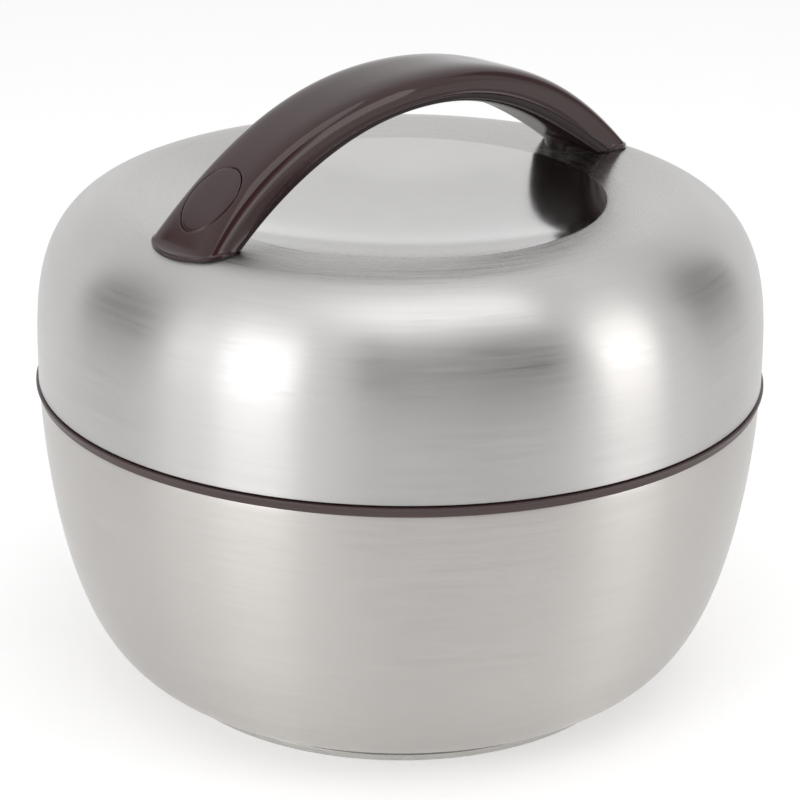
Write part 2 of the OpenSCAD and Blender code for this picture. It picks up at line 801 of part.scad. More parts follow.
// Steel plates inside the lid that spread the load of the handle
module backing_plates() {
    color([0.62, 0.62, 0.62])
        difference() {
            at_feet()
                translate([-bracket_u, 0, bracket_top_z - bracket_t])
                    linear_extrude(bracket_t)
                        offset(r = bracket_round)
                            square([bracket_l, bracket_w] - 2 * bracket_round * [1, 1], center = true);
            at_screws()
                translate([0, 0, rim_z]) cylinder(r = screw_clear_r, h = lid_h);
            translate([-vent_u, 0, rim_z]) cylinder(r = guide_hole_r, h = lid_h);
        }
}

module handle_screws() {
    head_z = bracket_top_z - bracket_t - screw_head_h;
    color([0.66, 0.66, 0.66])
        at_screws() {
            translate([0, 0, head_z]) cylinder(r = screw_head_r, h = screw_head_h);
            translate([0, 0, head_z + screw_head_h / 2])
                cylinder(r = screw_r, h = seat_top_z + screw_rise - head_z - screw_head_h / 2);
        }
}

module vent_guide() {
    color([0.85, 0.85, 0.83])
        translate([-vent_u, 0, 0])
            difference() {
                union() {
                    translate([0, 0, ceiling_z + liner_t])
                        cylinder(r = guide_r, h = guide_top_z - ceiling_z - liner_t);
                    translate([0, 0, seat_top_z]) cylinder(r = guide_flange_r, h = guide_flange_t);
                }
                translate([0, 0, ceiling_z]) cylinder(r = stem_r + stem_gap, h = lid_h);
            }
}

// Compression spring between the guide and the button
module vent_spring() {
    low = guide_top_z + wire_r + spring_end_gap;
    rise = spring_top_z - wire_r - spring_end_gap - low;
    count = spring_turns * spring_turn_steps;
    color([0.7, 0.7, 0.7])
        translate([-vent_u, 0, 0])
            sweep([for (j = [0:count])
                let (a = 360 * j / spring_turn_steps, z = low + rise * j / count)
                [for (i = [0:spring_sides - 1])
                    let (b = -360 * i / spring_sides, r = spring_r + wire_r * cos(b))
                    [r * cos(a), r * sin(a), z + wire_r * sin(b)]]]);
}

// Oval button whose top follows the handle's back
module vent_button() {
    color([0.29, 0.23, 0.23])
        difference() {
            union() {
                intersection() {
                    oval(0, button_low_z, 2 * handle_w);
                    difference() {
                        crown(-button_proud, 0, arch_end, crown_steps);
                        hollow(button_t, -over, arch_end, crown_steps / 2);
                        translate([-vent_u, 0, skirt_z]) rotate([0, -skirt_turn, 0])
                            translate([-handle_w, -handle_w, -handle_w])
                                cube([2 * handle_w, 2 * handle_w, handle_w]);
                    }
                }
                intersection() {
                    translate([-vent_u, 0, spring_top_z]) cylinder(r = button_boss_r, h = handle_w);
                    crown(button_t / 2, 0, arch_end, crown_steps / 2);
                }
            }
            translate([-vent_u, 0, spring_top_z - over])
                cylinder(r = stem_r + stem_gap, h = socket_h + over);
            translate([-vent_u, 0, button_low_z - over]) {
                cylinder(r = button_boss_r, h = spring_top_z - button_low_z + over);
                cylinder(r = guide_flange_r + gap, h = flange_room_z - button_low_z + over);
            }
        }
}

module vent_stem() {
    color([0.80, 0.80, 0.79])
        translate([-vent_u, 0, ceiling_z - gap - valve_t / 2])
            cylinder(r = stem_r, h = spring_top_z + socket_h - ceiling_z + gap + valve_t / 2);
}

module vent_valve() {
    color([0.86, 0.86, 0.84])
        translate([-vent_u, 0, ceiling_z - gap - valve_t])
            difference() {
                cylinder(r1 = valve_r - valve_t / 2, r2 = valve_r, h = valve_t);
                translate([0, 0, valve_t / 2]) cylinder(r = stem_r, h = valve_t);
            }
}

body_shell();
base_plate();
body_insulation();
body_liner();
collar();
inner_bowl();
bowl_lid();
bowl_lid_seal();
food_tray();
tray_divider();
lid_shell();
lid_insulation();
lid_liner();
lid_ring();
lid_seal();
handle_shell();
handle_cover();
foot_gaskets();
backing_plates();
handle_screws();
vent_guide();
vent_spring();
vent_button();
vent_stem();
vent_valve();
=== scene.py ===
import math
from itertools import accumulate

import bmesh
import bpy
from mathutils import Matrix, Vector


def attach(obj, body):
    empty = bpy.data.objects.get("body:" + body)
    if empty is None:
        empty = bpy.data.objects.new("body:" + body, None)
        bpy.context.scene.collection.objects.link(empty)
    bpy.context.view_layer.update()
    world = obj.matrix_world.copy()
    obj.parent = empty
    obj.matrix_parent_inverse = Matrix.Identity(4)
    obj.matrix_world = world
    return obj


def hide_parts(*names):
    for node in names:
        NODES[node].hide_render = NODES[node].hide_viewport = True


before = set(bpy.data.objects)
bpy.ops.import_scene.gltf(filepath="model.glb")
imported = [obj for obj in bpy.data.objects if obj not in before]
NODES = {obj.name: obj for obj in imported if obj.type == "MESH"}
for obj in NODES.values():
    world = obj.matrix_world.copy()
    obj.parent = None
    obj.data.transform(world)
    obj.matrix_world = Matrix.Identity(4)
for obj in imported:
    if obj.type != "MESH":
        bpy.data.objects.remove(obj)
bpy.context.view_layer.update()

MM = 0.001
TURN = 2 * math.pi


# Sizes that the shapes below share, in metres

# Body
BODY_R = 89.4 * MM
BODY_TOP = 76.8 * MM
BODY_LIFT = 0.5 * MM
BODY_SIDE_POWER = 1.54
BODY_TURN_POWER = 7.72
FOOT_H = 2.8 * MM
FOOT_W = 3 * MM
FOOT_ROUND = 0.7 * MM
GROOVE_Z = 1.7 * MM
GROOVE_H = 0.42 * MM
GROOVE_DEPTH = 0.5 * MM
PAN_R = 30 * MM
PAN_IN_R = 24 * MM
PAN_ROUND = 2 * MM
SHEET = 0.6 * MM
LAP = 0.1 * MM

# Collar and liner
COLLAR_R = 90.3 * MM
COLLAR_H = 2.3 * MM
BAND_R = 89.65 * MM
LIP_Z = BODY_TOP + 1.65 * MM
NECK_IN_R = 75.8 * MM
NECK_R = 79.5 * MM
NECK_TOP = 90 * MM
NECK_LOW = BODY_TOP - 7.2 * MM
SKIRT_R = BODY_R - 1 * MM
SKIRT_IN_R = BODY_R - 3.6 * MM
SKIRT_LOW = BODY_TOP - 6.4 * MM
MOUTH_R = 75 * MM
LINER = 0.5 * MM
LINER_TOP = NECK_TOP + LINER
LINER_Z = 10 * MM
LINER_ROUND = 26 * MM

# Bayonet: three lugs on each side and three stops, with their turns in degrees
THIRD = 120
LUG_R = NECK_R + 4.1 * MM
LUG_H = 3 * MM
LUG_TOP = NECK_TOP - 0.5 * MM
LUG_SINK = 0.3 * MM
LUG_SPAN = 50
STOP_LOW = NECK_TOP - 9.9 * MM
STOP_TOP = NECK_TOP - 3.2 * MM
STOP_TURN = 119.5
STOP_SPAN = 3
LID_LUG_R = NECK_R + 0.6 * MM
LID_LUG_TOP = LUG_TOP - 3.4 * MM
LID_LUG_TURN = 60
LID_LUG_SPAN = 44

# Bowl, its cover and the tray
WARE = 0.6 * MM
BOWL_R = 73.5 * MM
BOWL_Z = 10.3 * MM
BOWL_TOP = 62 * MM
BOWL_ROUND = 27.2 * MM
COVER_Z = BOWL_TOP + 0.3 * MM
COVER_T = 1.2 * MM
COVER_RIM_H = 1.8 * MM
COVER_RIM_W = 2.4 * MM
PLUG_R = BOWL_R - 1.6 * MM
PLUG_W = 2 * MM
PLUG_LOW = COVER_Z - 4.6 * MM
SEAT_IN_R = PLUG_R - 1.2 * MM
SEAT_LOW = COVER_Z - 3 * MM
SEAT_HIGH = COVER_Z - 1.4 * MM
GRIP_L = 44 * MM
GRIP_W = 5 * MM
GRIP_LOW = COVER_Z + 0.9 * MM
GRIP_TOP = COVER_Z + 4.75 * MM
TRAY_R = 73.8 * MM
TRAY_TOP = LINER_TOP + 0.3 * MM
TRAY_Z = TRAY_TOP - 21.5 * MM
TRAY_ROUND = 10 * MM
TRAY_RIM_W = 2.7 * MM
DIVIDER_T = 2 * MM
DIVIDER_TOP = TRAY_TOP - 1.6 * MM
DIVIDER_GAP = 0.3 * MM

# Lid
RIM_Z = 79.5 * MM
LID_R = 89.65 * MM
LID_H = 45.3 * MM
CREST_R = 66 * MM
LID_TOP_POWER = 2.127
LID_SIDE_POWER = 3.679
DISH_R = 50.1 * MM
DISH_FALL = 0.95 * MM
DISH_DEPTH = 7.5 * MM
DISH_EDGE_Z = RIM_Z + LID_H - DISH_FALL
DISH_BALL_R = (DISH_R ** 2 + DISH_DEPTH ** 2) / (2 * DISH_DEPTH)

# Inside of the lid
SEAL_IN_R = MOUTH_R + 2.2 * MM
SEAL_R = NECK_R + 0.7 * MM
SEAL_H = 2.8 * MM
SEAL_Z = LINER_TOP + 0.3 * MM
SEAL_TAPER = 0.7 * MM
FLANGE_R = 82.2 * MM
FLANGE_Z = SEAL_Z + SEAL_H + LINER
CEILING_Z = FLANGE_Z + 9.8 * MM
CEILING_R = MOUTH_R - 0.3 * MM
CEILING_ROUND = 7 * MM
RING_IN_R = LUG_R + 0.6 * MM
RING_R = LID_R - SHEET - 0.65 * MM
RING_LOW = BODY_TOP + COLLAR_H + 0.5 * MM
RING_TOP = FLANGE_Z + 2 * MM
RING_TOP_IN_R = CEILING_R + 0.8 * MM

# Handle, an arch in the plane of X and Z
ARCH_Z = RIM_Z + 70.1 * MM
ARCH_HALF = 63.4 * MM
ARCH_DROP = 24.8 * MM
ARCH_POWER = 2.082
SHARE_CAP = 1.1
LEG_STATION = 35 * MM
FARTHEST_STATION = 85 * MM
HALF_W = 11.5 * MM
HALF_FOOT_W = 10.9 * MM
LEG_WAIST = 1.22 * MM
CROWN_H = 6.7 * MM
CROWN_FOOT_H = 5.6 * MM
CROWN_SWELL = 1.24 * MM
CROWN_POWER = 4.2
KNEE_H = 1.8 * MM
TUCK_IN = 1.5 * MM
FOOT_FLARE = 0.5 * MM
KEEL_H = 2.2 * MM
KEEL_FOOT_H = 2.4 * MM
KEEL_SWELL = 1.1 * MM
KEEL_POWER = 4
KEEL_INSET = 0.3 * MM

# Rim of each foot in plan: a broad round tip, tight corners and a bowed heel
FOOT_TIP = 73.6 * MM
FOOT_END_R = 18 * MM
FOOT_CORNER_R = 6 * MM
RIM_HALF_W = 11.6 * MM
RIM_H = 0.75 * MM
CORNER_BACK = math.radians(108)
RIM_END_SHARE = 0.3
RIM_EASE_SHARE = 0.12
RIM_EDGE_SHARE = 0.45
FOOT_REACH_SHARE = 0.7
RIM_LEAVE = 0.22 * MM
RIM_FILLET = 1.2 * MM
FOOT_MIDDLE_X = 62 * MM
HEEL_X = 54 * MM
HEEL_LEAVE = 0.1 * MM
HEEL_FILLET = 4.2 * MM
GASKET = 0.4 * MM
GASKET_MIDDLE_X = 64 * MM
GASKET_SHARE = 0.985
NEAR = 0.05 * MM

# Vent button
VENT_X = -60.5 * MM
BUTTON_A = 7.07 * MM
BUTTON_B = 6.7 * MM
BUTTON_GAP = 0.2 * MM
BUTTON_LOW_Z = 127.8 * MM
BUTTON_EDGE = 0.34 * MM
BUTTON_PROUD = 0.04 * MM
WELL_EDGE = 0.28 * MM
WELL_MARGIN_X = 1.3 * MM
WELL_MARGIN_Y = 1.9 * MM


# Mesh helpers

def mesh_from(name, verts, faces, materials):
    mesh = bpy.data.meshes.new(name)
    mesh.from_pydata([tuple(v) for v in verts], [], faces)
    for material in materials:
        mesh.materials.append(material)
    return mesh


def placed(name, data):
    """A new object in the scene that shows a mesh, lamp or camera."""
    made = bpy.data.objects.new(name, data)
    bpy.context.collection.objects.link(made)
    return made


def piece_from(name, verts, faces, materials, body, nodes, sharp=38, marks=None):
    """A smooth-shaded mesh that rides on a body and stands for CAD nodes."""
    mesh = mesh_from(name, verts, faces, materials)
    if marks:
        for face in mesh.polygons:
            face.material_index = marks[face.index]
    work = bmesh.new()
    work.from_mesh(mesh)
    bmesh.ops.remove_doubles(work, verts=work.verts, dist=2e-6)
    bmesh.ops.dissolve_degenerate(work, edges=work.edges, dist=1e-7)
    bmesh.ops.recalc_face_normals(work, faces=work.faces)
    limit = math.radians(sharp)
    for face in work.faces:
        face.smooth = True
    for edge in work.edges:
        edge.smooth = len(edge.link_faces) == 2 and edge.calc_face_angle(0) < limit
    work.to_mesh(mesh)
    work.free()
    mesh.validate()
    piece = placed(name, mesh)
    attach(piece, body)
    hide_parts(*nodes)


def revolve(loop, count=256):
    """Verts and faces of a closed loop of (r, z) turned about Z."""
    verts, faces, rows = [], [], []
    for r, z in loop:
        if r < 1e-6:
            rows.append([len(verts)])
            verts.append((0, 0, z))
        else:
            rows.append(list(range(len(verts), len(verts) + count)))
            verts.extend((r * math.cos(TURN * i / count), r * math.sin(TURN * i / count), z)
                         for i in range(count))
    for k, one in enumerate(rows):
        two = rows[(k + 1) % len(rows)]
        if len(one) == 1 and len(two) == 1:
            continue
        for i in range(count):
            j = (i + 1) % count
            if len(one) == 1:
                faces.append((one[0], two[j], two[i]))
            elif len(two) == 1:
                faces.append((one[i], one[j], two[0]))
            else:
                faces.append((one[i], one[j], two[j], two[i]))
    return verts, faces


def turned(name, loop, material, body, nodes, extra=()):
    """A piece turned from an outline, with more closed meshes joined to it."""
    verts, faces = revolve(loop)
    for more_verts, more_faces in extra:
        base = len(verts)
        verts = verts + list(more_verts)
        faces = faces + [tuple(base + i for i in face) for face in more_faces]
    piece_from(name, verts, faces, [material], body, nodes)


def filleted(points, radii, steps=5, closed=True):
    """A polyline of (r, z) with rounded corners. radii is one size or one for each corner."""
    count = len(points)
    if not isinstance(radii, (list, tuple)):
        radii = [radii] * count
    out = []
    for i, (point, radius) in enumerate(zip(points, radii)):
        here = Vector(point)
        if radius <= 0 or (not closed and i in (0, count - 1)):
            out.append(tuple(here))
            continue
        one, two = Vector(points[i - 1]) - here, Vector(points[(i + 1) % count]) - here
        cut = min(radius, 0.46 * one.length, 0.46 * two.length)
        start, end = here + one.normalized() * cut, here + two.normalized() * cut
        for k in range(steps + 1):
            t = k / steps
            out.append(tuple(start * (1 - t) ** 2 + here * (2 * t * (1 - t)) + end * t * t))
    return out


def cornered(corners, steps=5):
    """A closed outline from (r, z, corner radius)."""
    return filleted([(r, z) for r, z, _ in corners], [radius for _, _, radius in corners], steps)


def bands(rings):
    """Faces from each ring of vertex numbers to the next."""
    faces = []
    for one, two in zip(rings, rings[1:]):
        count = len(one)
        for i in range(count):
            j = (i + 1) % count
            faces.append((one[i], one[j], two[j], two[i]))
    return faces


def numbered(count, size, start=0):
    """Rings of vertex numbers, size long, that follow each other in a list of vertices."""
    return [range(start + k * size, start + (k + 1) * size) for k in range(count)]


def closed_tube(count, size):
    """Faces of a tube of rings that is closed at both ends."""
    rings = numbered(count, size)
    return bands(rings) + [tuple(reversed(rings[0])), tuple(rings[-1])]


def sector(r_in, r_out, z_low, z_high, middle, span, edge=0.4 * MM, steps=48):
    """A rounded block that follows an arc, for the bayonet lugs. Angles are in degrees."""
    section = filleted([(r_in, z_low), (r_out, z_low), (r_out, z_high), (r_in, z_high)], edge, 4)
    centre = Vector(((r_in + r_out) / 2, (z_low + z_high) / 2))
    verts = []
    half = math.radians(span) / 2
    ease = edge / r_out
    rows = [(-half, 0.86), (-half + ease * 0.3, 0.95), (-half + ease, 1)]
    rows += [(-half + ease + (2 * half - 2 * ease) * i / steps, 1) for i in range(1, steps)]
    rows += [(half - ease, 1), (half - ease * 0.3, 0.95), (half, 0.86)]
    for angle, swell in rows:
        a = math.radians(middle) + angle
        for p in section:
            q = centre + (Vector(p) - centre) * swell
            verts.append((q.x * math.cos(a), q.x * math.sin(a), q.y))
    return verts, closed_tube(len(rows), len(section))


def cup(r, top, floor_z, round_r, steps=14):
    """Outline of a cup from its top edge down its wall and along its floor to the axis."""
    out = [(r, top)]
    for i in range(steps + 1):
        t = math.pi / 2 * i / steps
        out.append((r - round_r + round_r * math.cos(t), floor_z + round_r - round_r * math.sin(t)))
    flat = r - round_r
    return out + [(flat * 0.66, floor_z), (flat * 0.33, floor_z), (0, floor_z)]


# Outlines

def body_curve(inset, steps=84):
    r0, h0 = BODY_R - inset, BODY_TOP - BODY_LIFT - inset
    end = (BODY_TOP - FOOT_H) / (BODY_TOP - BODY_LIFT)
    out = []
    for i in range(steps + 1):
        s = end * math.sin(math.pi / 2 * i / steps)
        out.append((r0 * (1 - s ** BODY_SIDE_POWER) ** (1 / BODY_TURN_POWER), BODY_TOP - h0 * s))
    return out


def lid_side(inset, steps=84):
    out = []
    for i in range(steps + 1):
        t = math.pi / 2 * i / steps
        c, s = max(0, math.cos(t)), math.sin(t)
        out.append((CREST_R + (LID_R - CREST_R - inset) * c ** (2 / LID_TOP_POWER),
                    RIM_Z + (LID_H - inset) * s ** (2 / LID_SIDE_POWER)))
    return out


def lid_top(inset, steps=16):
    return [(CREST_R - s * (CREST_R - DISH_R), RIM_Z + LID_H - inset - DISH_FALL * s * s)
            for s in (i / steps for i in range(1, steps + 1))]


def dish_curve(inset, steps=48):
    out = []
    for i in range(1, steps + 1):
        a = math.asin(DISH_R / DISH_BALL_R) * (1 - i / steps)
        rise = DISH_BALL_R * (1 - math.cos(a))
        out.append((DISH_BALL_R * math.sin(a), DISH_EDGE_Z - inset - DISH_DEPTH + rise))
    return out


def lid_height(r):
    """Height of the lid's outer surface outside the dish."""
    if r <= CREST_R:
        return RIM_Z + LID_H - DISH_FALL * ((CREST_R - r) / (CREST_R - DISH_R)) ** 2
    s = min(1, (r - CREST_R) / (LID_R - CREST_R))
    return RIM_Z + LID_H * (1 - s ** LID_TOP_POWER) ** (1 / LID_SIDE_POWER)


def seat_height(x, y):
    return lid_height(math.hypot(x, y)) + GASKET


# Handle geometry

def share_at(u):
    return min(SHARE_CAP, (u / CREST_R) ** 2)


def bend(u, middle, foot, swell):
    """A size that runs from the middle of the handle to its feet, with an extra halfway down the legs."""
    t = share_at(u)
    return middle + (foot - middle) * t + 4 * swell * t * (1 - t)


def half_width(u):
    return bend(u, HALF_W, HALF_FOOT_W, -LEG_WAIST)


def crown_at(u):
    return bend(u, CROWN_H, CROWN_FOOT_H, CROWN_SWELL)


def keel_at(u):
    return bend(u, KEEL_H, KEEL_FOOT_H, KEEL_SWELL)


def tuck_at(u):
    """How far the sides draw in below their widest line, and less than zero where they flare out."""
    return TUCK_IN - (TUCK_IN + FOOT_FLARE) * share_at(u)


def arch_spot(u, v, k):
    t = abs(u) / ARCH_HALF
    slope = math.copysign(ARCH_DROP * ARCH_POWER / ARCH_HALF * t ** (ARCH_POWER - 1), u)
    n = math.hypot(1, slope)
    return Vector((u + slope / n * k, v, ARCH_Z - ARCH_DROP * t ** ARCH_POWER + k / n))


def even_steps(lengths, count):
    """Places of even steps along a line, each as the number of a segment and the share of it passed."""
    run = list(accumulate(lengths, initial=0))
    out, k = [], 0
    for i in range(count + 1):
        goal = run[-1] * i / count
        while k < len(run) - 2 and run[k + 1] < goal:
            k += 1
        out.append((k, (goal - run[k]) / max(1e-12, run[k + 1] - run[k])))
    return out


def profile(power, aspect, count, steps=1200):
    """Evenly spaced points of half a superellipse, from -1 to 1 across, with its height from 0 to 1."""
    fine = []
    for i in range(steps + 1):
        t = math.pi * i / steps
        c, s = math.cos(t), max(0, math.sin(t))
        fine.append((-math.copysign(abs(c) ** (2 / power), c), s ** (2 / power)))
    lengths = [math.hypot(b[0] - a[0], (b[1] - a[1]) * aspect) for a, b in zip(fine, fine[1:])]
    return [tuple(a + (b - a) * share for a, b in zip(fine[k], fine[k + 1]))
            for k, share in even_steps(lengths, count)]


def halved(low, high, past, steps=44):
    """The value between low and high at which past turns true."""
    for _ in range(steps):
        middle = (low + high) / 2
        if past(middle):
            high = middle
        else:
            low = middle
    return (low + high) / 2


def crown_height(x, y):
    """Height of the handle's back above a point in plan."""
    def spot(u):
        share = min(1, abs(y) / half_width(u))
        rise = (crown_at(u) - KNEE_H) * (1 - share ** CROWN_POWER) ** (1 / CROWN_POWER)
        return arch_spot(u, y, KNEE_H + rise)
    return spot(halved(0, FARTHEST_STATION, lambda u: spot(u).x > abs(x))).z


def above_seat(p):
    return p.z - seat_height(p.x, p.y)


def station_at(spot, height):
    """Station at which a line along the handle comes down to a height above the seat."""
    return halved(LEG_STATION, FARTHEST_STATION, lambda u: above_seat(spot(u)) < height)


def ease(x):
    x = max(0, min(1, x))
    return x * x * (3 - 2 * x)


def bezier(a, b, c, steps):
    """Points after a, up to c."""
    shares = [k / steps for k in range(1, steps + 1)]
    return [a * (1 - t) ** 2 + b * (2 * t * (1 - t)) + c * t * t for t in shares]


def even_points(spots, count):
    """The same line, from its first point to its last, in even steps."""
    lengths = [(b - a).length for a, b in zip(spots, spots[1:])]
    return [spots[k].lerp(spots[k + 1], share) for k, share in even_steps(lengths, count)]


def full_row(spot, leave, foot, stations):
    """One line of the handle from foot to foot: along the arch to a station, then down its foot's points."""
    half = [spot(leave * j / stations) for j in range(stations + 1)] + foot
    return [Vector((-p.x, p.y, p.z)) for p in reversed(half[1:])] + half


def grid_faces(rows, skip=None):
    """Faces of a solid whose rows run side by side, closed below and at both ends."""
    wide, long = len(rows), len(rows[0])
    verts = [p for row in rows for p in row]
    faces = []
    for i in range(wide - 1):
        for j in range(long - 1):
            if skip and skip(i, j):
                continue
            a = i * long + j
            faces.append((a, a + 1, a + long + 1, a + long))
    last = (wide - 1) * long
    for j in range(long - 1):
        faces.append((j, last + j, last + j + 1, j + 1))
    faces.append(tuple(i * long for i in range(wide)))
    faces.append(tuple(i * long + long - 1 for i in range(wide - 1, -1, -1)))
    return verts, faces


def crown_lines(count=56, knee=6):
    """Lines along the back, from one lower edge over the top to the other."""
    low = [(math.pi / 2 * (1 - i / knee)) for i in range(knee)]

    def side_line(sign, a):
        tuck, rise = 1 - math.cos(a), KNEE_H * (1 - math.sin(a))
        return lambda u: arch_spot(u, sign * (half_width(u) - tuck_at(u) * tuck), rise)

    spots = profile(CROWN_POWER, (CROWN_H - KNEE_H) / HALF_W, count)
    top = [lambda u, a=a, b=b: arch_spot(u, half_width(u) * a, KNEE_H + (crown_at(u) - KNEE_H) * b)
           for a, b in spots]
    return [side_line(-1, a) for a in low] + top + [side_line(1, a) for a in reversed(low)]


def side_spot():
    """Place where the lower edge of a leg comes down on the seat, at positive x and y."""
    edge = crown_lines()[-1]
    return edge(station_at(edge, 0))


SIDE = side_spot()


def rim_outline(count=400, corner_steps=24, tip_steps=40):
    """The rim of the foot at positive x, from one side round its tip to the other, as (x, y)."""
    centre = FOOT_TIP - FOOT_END_R
    turn = math.asin((RIM_HALF_W - FOOT_CORNER_R) / (FOOT_END_R - FOOT_CORNER_R))
    corner = Vector((centre + (FOOT_END_R - FOOT_CORNER_R) * math.cos(turn), RIM_HALF_W - FOOT_CORNER_R))
    half = [Vector((SIDE.x, SIDE.y))]
    for i in range(corner_steps + 1):
        a = CORNER_BACK + (turn - CORNER_BACK) * i / corner_steps
        half.append(corner + FOOT_CORNER_R * Vector((math.cos(a), math.sin(a))))
    for i in range(1, tip_steps + 1):
        a = turn * (1 - i / tip_steps)
        half.append(Vector((centre + FOOT_END_R * math.cos(a), FOOT_END_R * math.sin(a))))
    return even_points([Vector((p.x, -p.y)) for p in half] + list(reversed(half[:-1])), count)


RIM = rim_outline()


def crown_rows(stations=84):
    """Lines of the back that leave the arch near the lid and spread out into the rim of each foot."""
    lines = crown_lines()
    downs = [line(station_at(line, 0)) for line in lines]
    run = list(accumulate((math.hypot(b.x - a.x, b.y - a.y) for a, b in zip(downs, downs[1:])), initial=0))
    rows = []
    for line, there in zip(lines, run):
        place = there / run[-1]
        full = ease(min(place, 1 - place) / RIM_EASE_SHARE)
        spot = place * (len(RIM) - 1)
        k = min(len(RIM) - 2, int(spot))
        out = RIM[k].lerp(RIM[k + 1], spot - k)
        height = RIM_H * (RIM_END_SHARE + (1 - RIM_END_SHARE) * full)
        edge = RIM_EDGE_SHARE * height
        inner = out + (Vector((FOOT_MIDDLE_X, 0)) - out).normalized() * edge
        leave = station_at(line, RIM_LEAVE + RIM_FILLET * full)
        start = line(leave)
        ahead = (line(leave + NEAR) - start).normalized()
        top = Vector((inner.x, inner.y, seat_height(inner.x, inner.y) + height))
        drop = (start.z - top.z) / max(1e-6, -ahead.z)
        run_on = min(max(0, drop), FOOT_REACH_SHARE * (top - start).length)
        low = Vector((out.x, out.y, top.z - edge))
        foot = bezier(start, start + ahead * run_on, top, 10)
        foot += bezier(top, Vector((out.x, out.y, top.z)), low, 4)
        seat = seat_height(out.x, out.y)
        foot += [Vector((out.x, out.y, (low.z + seat) / 2)), Vector((out.x, out.y, seat))]
        rows.append(full_row(line, leave, foot, stations))
    return rows


def keel_lines(count=44):
    """Lines along the underside, from one side to the other."""
    def line(t):
        c, s = math.cos(t), max(0, math.sin(t))

        def spot(u):
            wide = half_width(u) - tuck_at(u) - KEEL_INSET
            across = -math.copysign(abs(c) ** (2 / KEEL_POWER), c) * wide
            return arch_spot(u, across, -keel_at(u) * s ** (2 / KEEL_POWER))
        return spot
    return [line(math.pi * i / count) for i in range(count + 1)]


def heel_x(y):
    return HEEL_X + (SIDE.x - HEEL_X) * min(1, abs(y) / SIDE.y) ** 2


def keel_rows(stations=84):
    """Lines of the underside that turn down steeply onto the lid at the heel of each foot."""
    rows = []
    for line in keel_lines():
        down = line(station_at(line, 0))
        share = min(1, abs(down.y) / SIDE.y)
        leave = station_at(line, HEEL_LEAVE + HEEL_FILLET * (1 - share * share))
        start = line(leave)
        ahead = (line(leave + NEAR) - start).normalized()
        end = Vector((max(start.x, min(heel_x(down.y), down.x)), down.y, 0))
        end.z = seat_height(end.x, end.y)
        control = start + ahead * ((end.x - start.x) / max(1e-6, ahead.x))
        rows.append(full_row(line, leave, bezier(start, control, end, 10), stations))
    return rows


def crown_mesh(steps=7):
    """The handle's back, with an oval hole for the button cut out of its grid."""
    rows = crown_rows()
    wide, long = len(rows), len(rows[0])
    near_rows = [i for i in range(wide) if abs(rows[i][long // 2].y) < BUTTON_B + WELL_MARGIN_Y]
    i0, i1 = near_rows[0], near_rows[-1]
    middle = rows[wide // 2]
    near_columns = [j for j in range(long) if abs(middle[j].x - VENT_X) < BUTTON_A + WELL_MARGIN_X]
    j0, j1 = near_columns[0], near_columns[-1]
    verts, faces = grid_faces(rows, lambda i, j: i0 <= i < i1 and j0 <= j < j1)
    loop = [i0 * long + j for j in range(j0, j1)] + [i * long + j1 for i in range(i0, i1)]
    loop += [i1 * long + j for j in range(j1, j0, -1)] + [i * long + j0 for i in range(i1, i0, -1)]
    a, b = BUTTON_A + BUTTON_GAP, BUTTON_B + BUTTON_GAP
    turns = [math.atan2(verts[i].y / b, (verts[i].x - VENT_X) / a) for i in loop]
    inner = [(VENT_X + a * math.cos(turn), b * math.sin(turn)) for turn in turns]
    aways = [Vector((x - VENT_X, y)).normalized() * WELL_EDGE for x, y in inner]
    rings = [loop]

    def add_ring(spots, drop=0):
        rings.append(range(len(verts), len(verts) + len(loop)))
        verts.extend([Vector((x, y, crown_height(x, y) - drop)) for x, y in spots])

    edge = [(x + away.x, y + away.y) for (x, y), away in zip(inner, aways)]
    outer = [(verts[i].x, verts[i].y) for i in loop]
    for k in range(1, steps + 1):
        t = 1 - (k / steps) ** 0.8
        add_ring([(sx + (ox - sx) * t, sy + (oy - sy) * t) for (sx, sy), (ox, oy) in zip(edge, outer)])
    for out_share, drop in ((0.45, 0.12), (0.12, 0.5), (0, 1), (0, 3), (0, 7)):
        spots = [(x + away.x * out_share, y + away.y * out_share) for (x, y), away in zip(inner, aways)]
        add_ring(spots, drop * WELL_EDGE)
    return verts, faces + bands(rings) + [tuple(rings[-1])]


def button_mesh(steps=16, count=112, deepest=8, stagger=0.02 * MM):
    """The button's top follows the back of the handle, over an upright oval wall."""
    verts = [Vector((VENT_X, 0, crown_height(VENT_X, 0) + BUTTON_PROUD))]
    turns = [-TURN * i / count for i in range(1, count + 1)]
    top_a, top_b = BUTTON_A - BUTTON_EDGE, BUTTON_B - BUTTON_EDGE
    for share in ((k / steps) ** 0.85 for k in range(1, steps + 1)):
        for turn in turns:
            x, y = VENT_X + top_a * share * math.cos(turn), top_b * share * math.sin(turn)
            verts.append(Vector((x, y, crown_height(x, y) + BUTTON_PROUD)))
    wall = ((0.55, 0.1), (0.85, 0.36), (1, 0.9), (1, 3), (1, deepest))
    for out, drop in wall:
        for turn in turns:
            x = VENT_X + (top_a + BUTTON_EDGE * out) * math.cos(turn)
            y = (top_b + BUTTON_EDGE * out) * math.sin(turn)
            top = crown_height(x, y) + BUTTON_PROUD
            least = min(BUTTON_LOW_Z, top - 1.5 * BUTTON_EDGE) + (deepest - drop) * stagger
            verts.append(Vector((x, y, max(top - drop * BUTTON_EDGE, least))))
    rings = numbered(steps + len(wall), count, 1)
    faces = [(0, rings[0][(i + 1) % count], rings[0][i]) for i in range(count)]
    return verts, faces + bands(rings) + [tuple(rings[-1])]


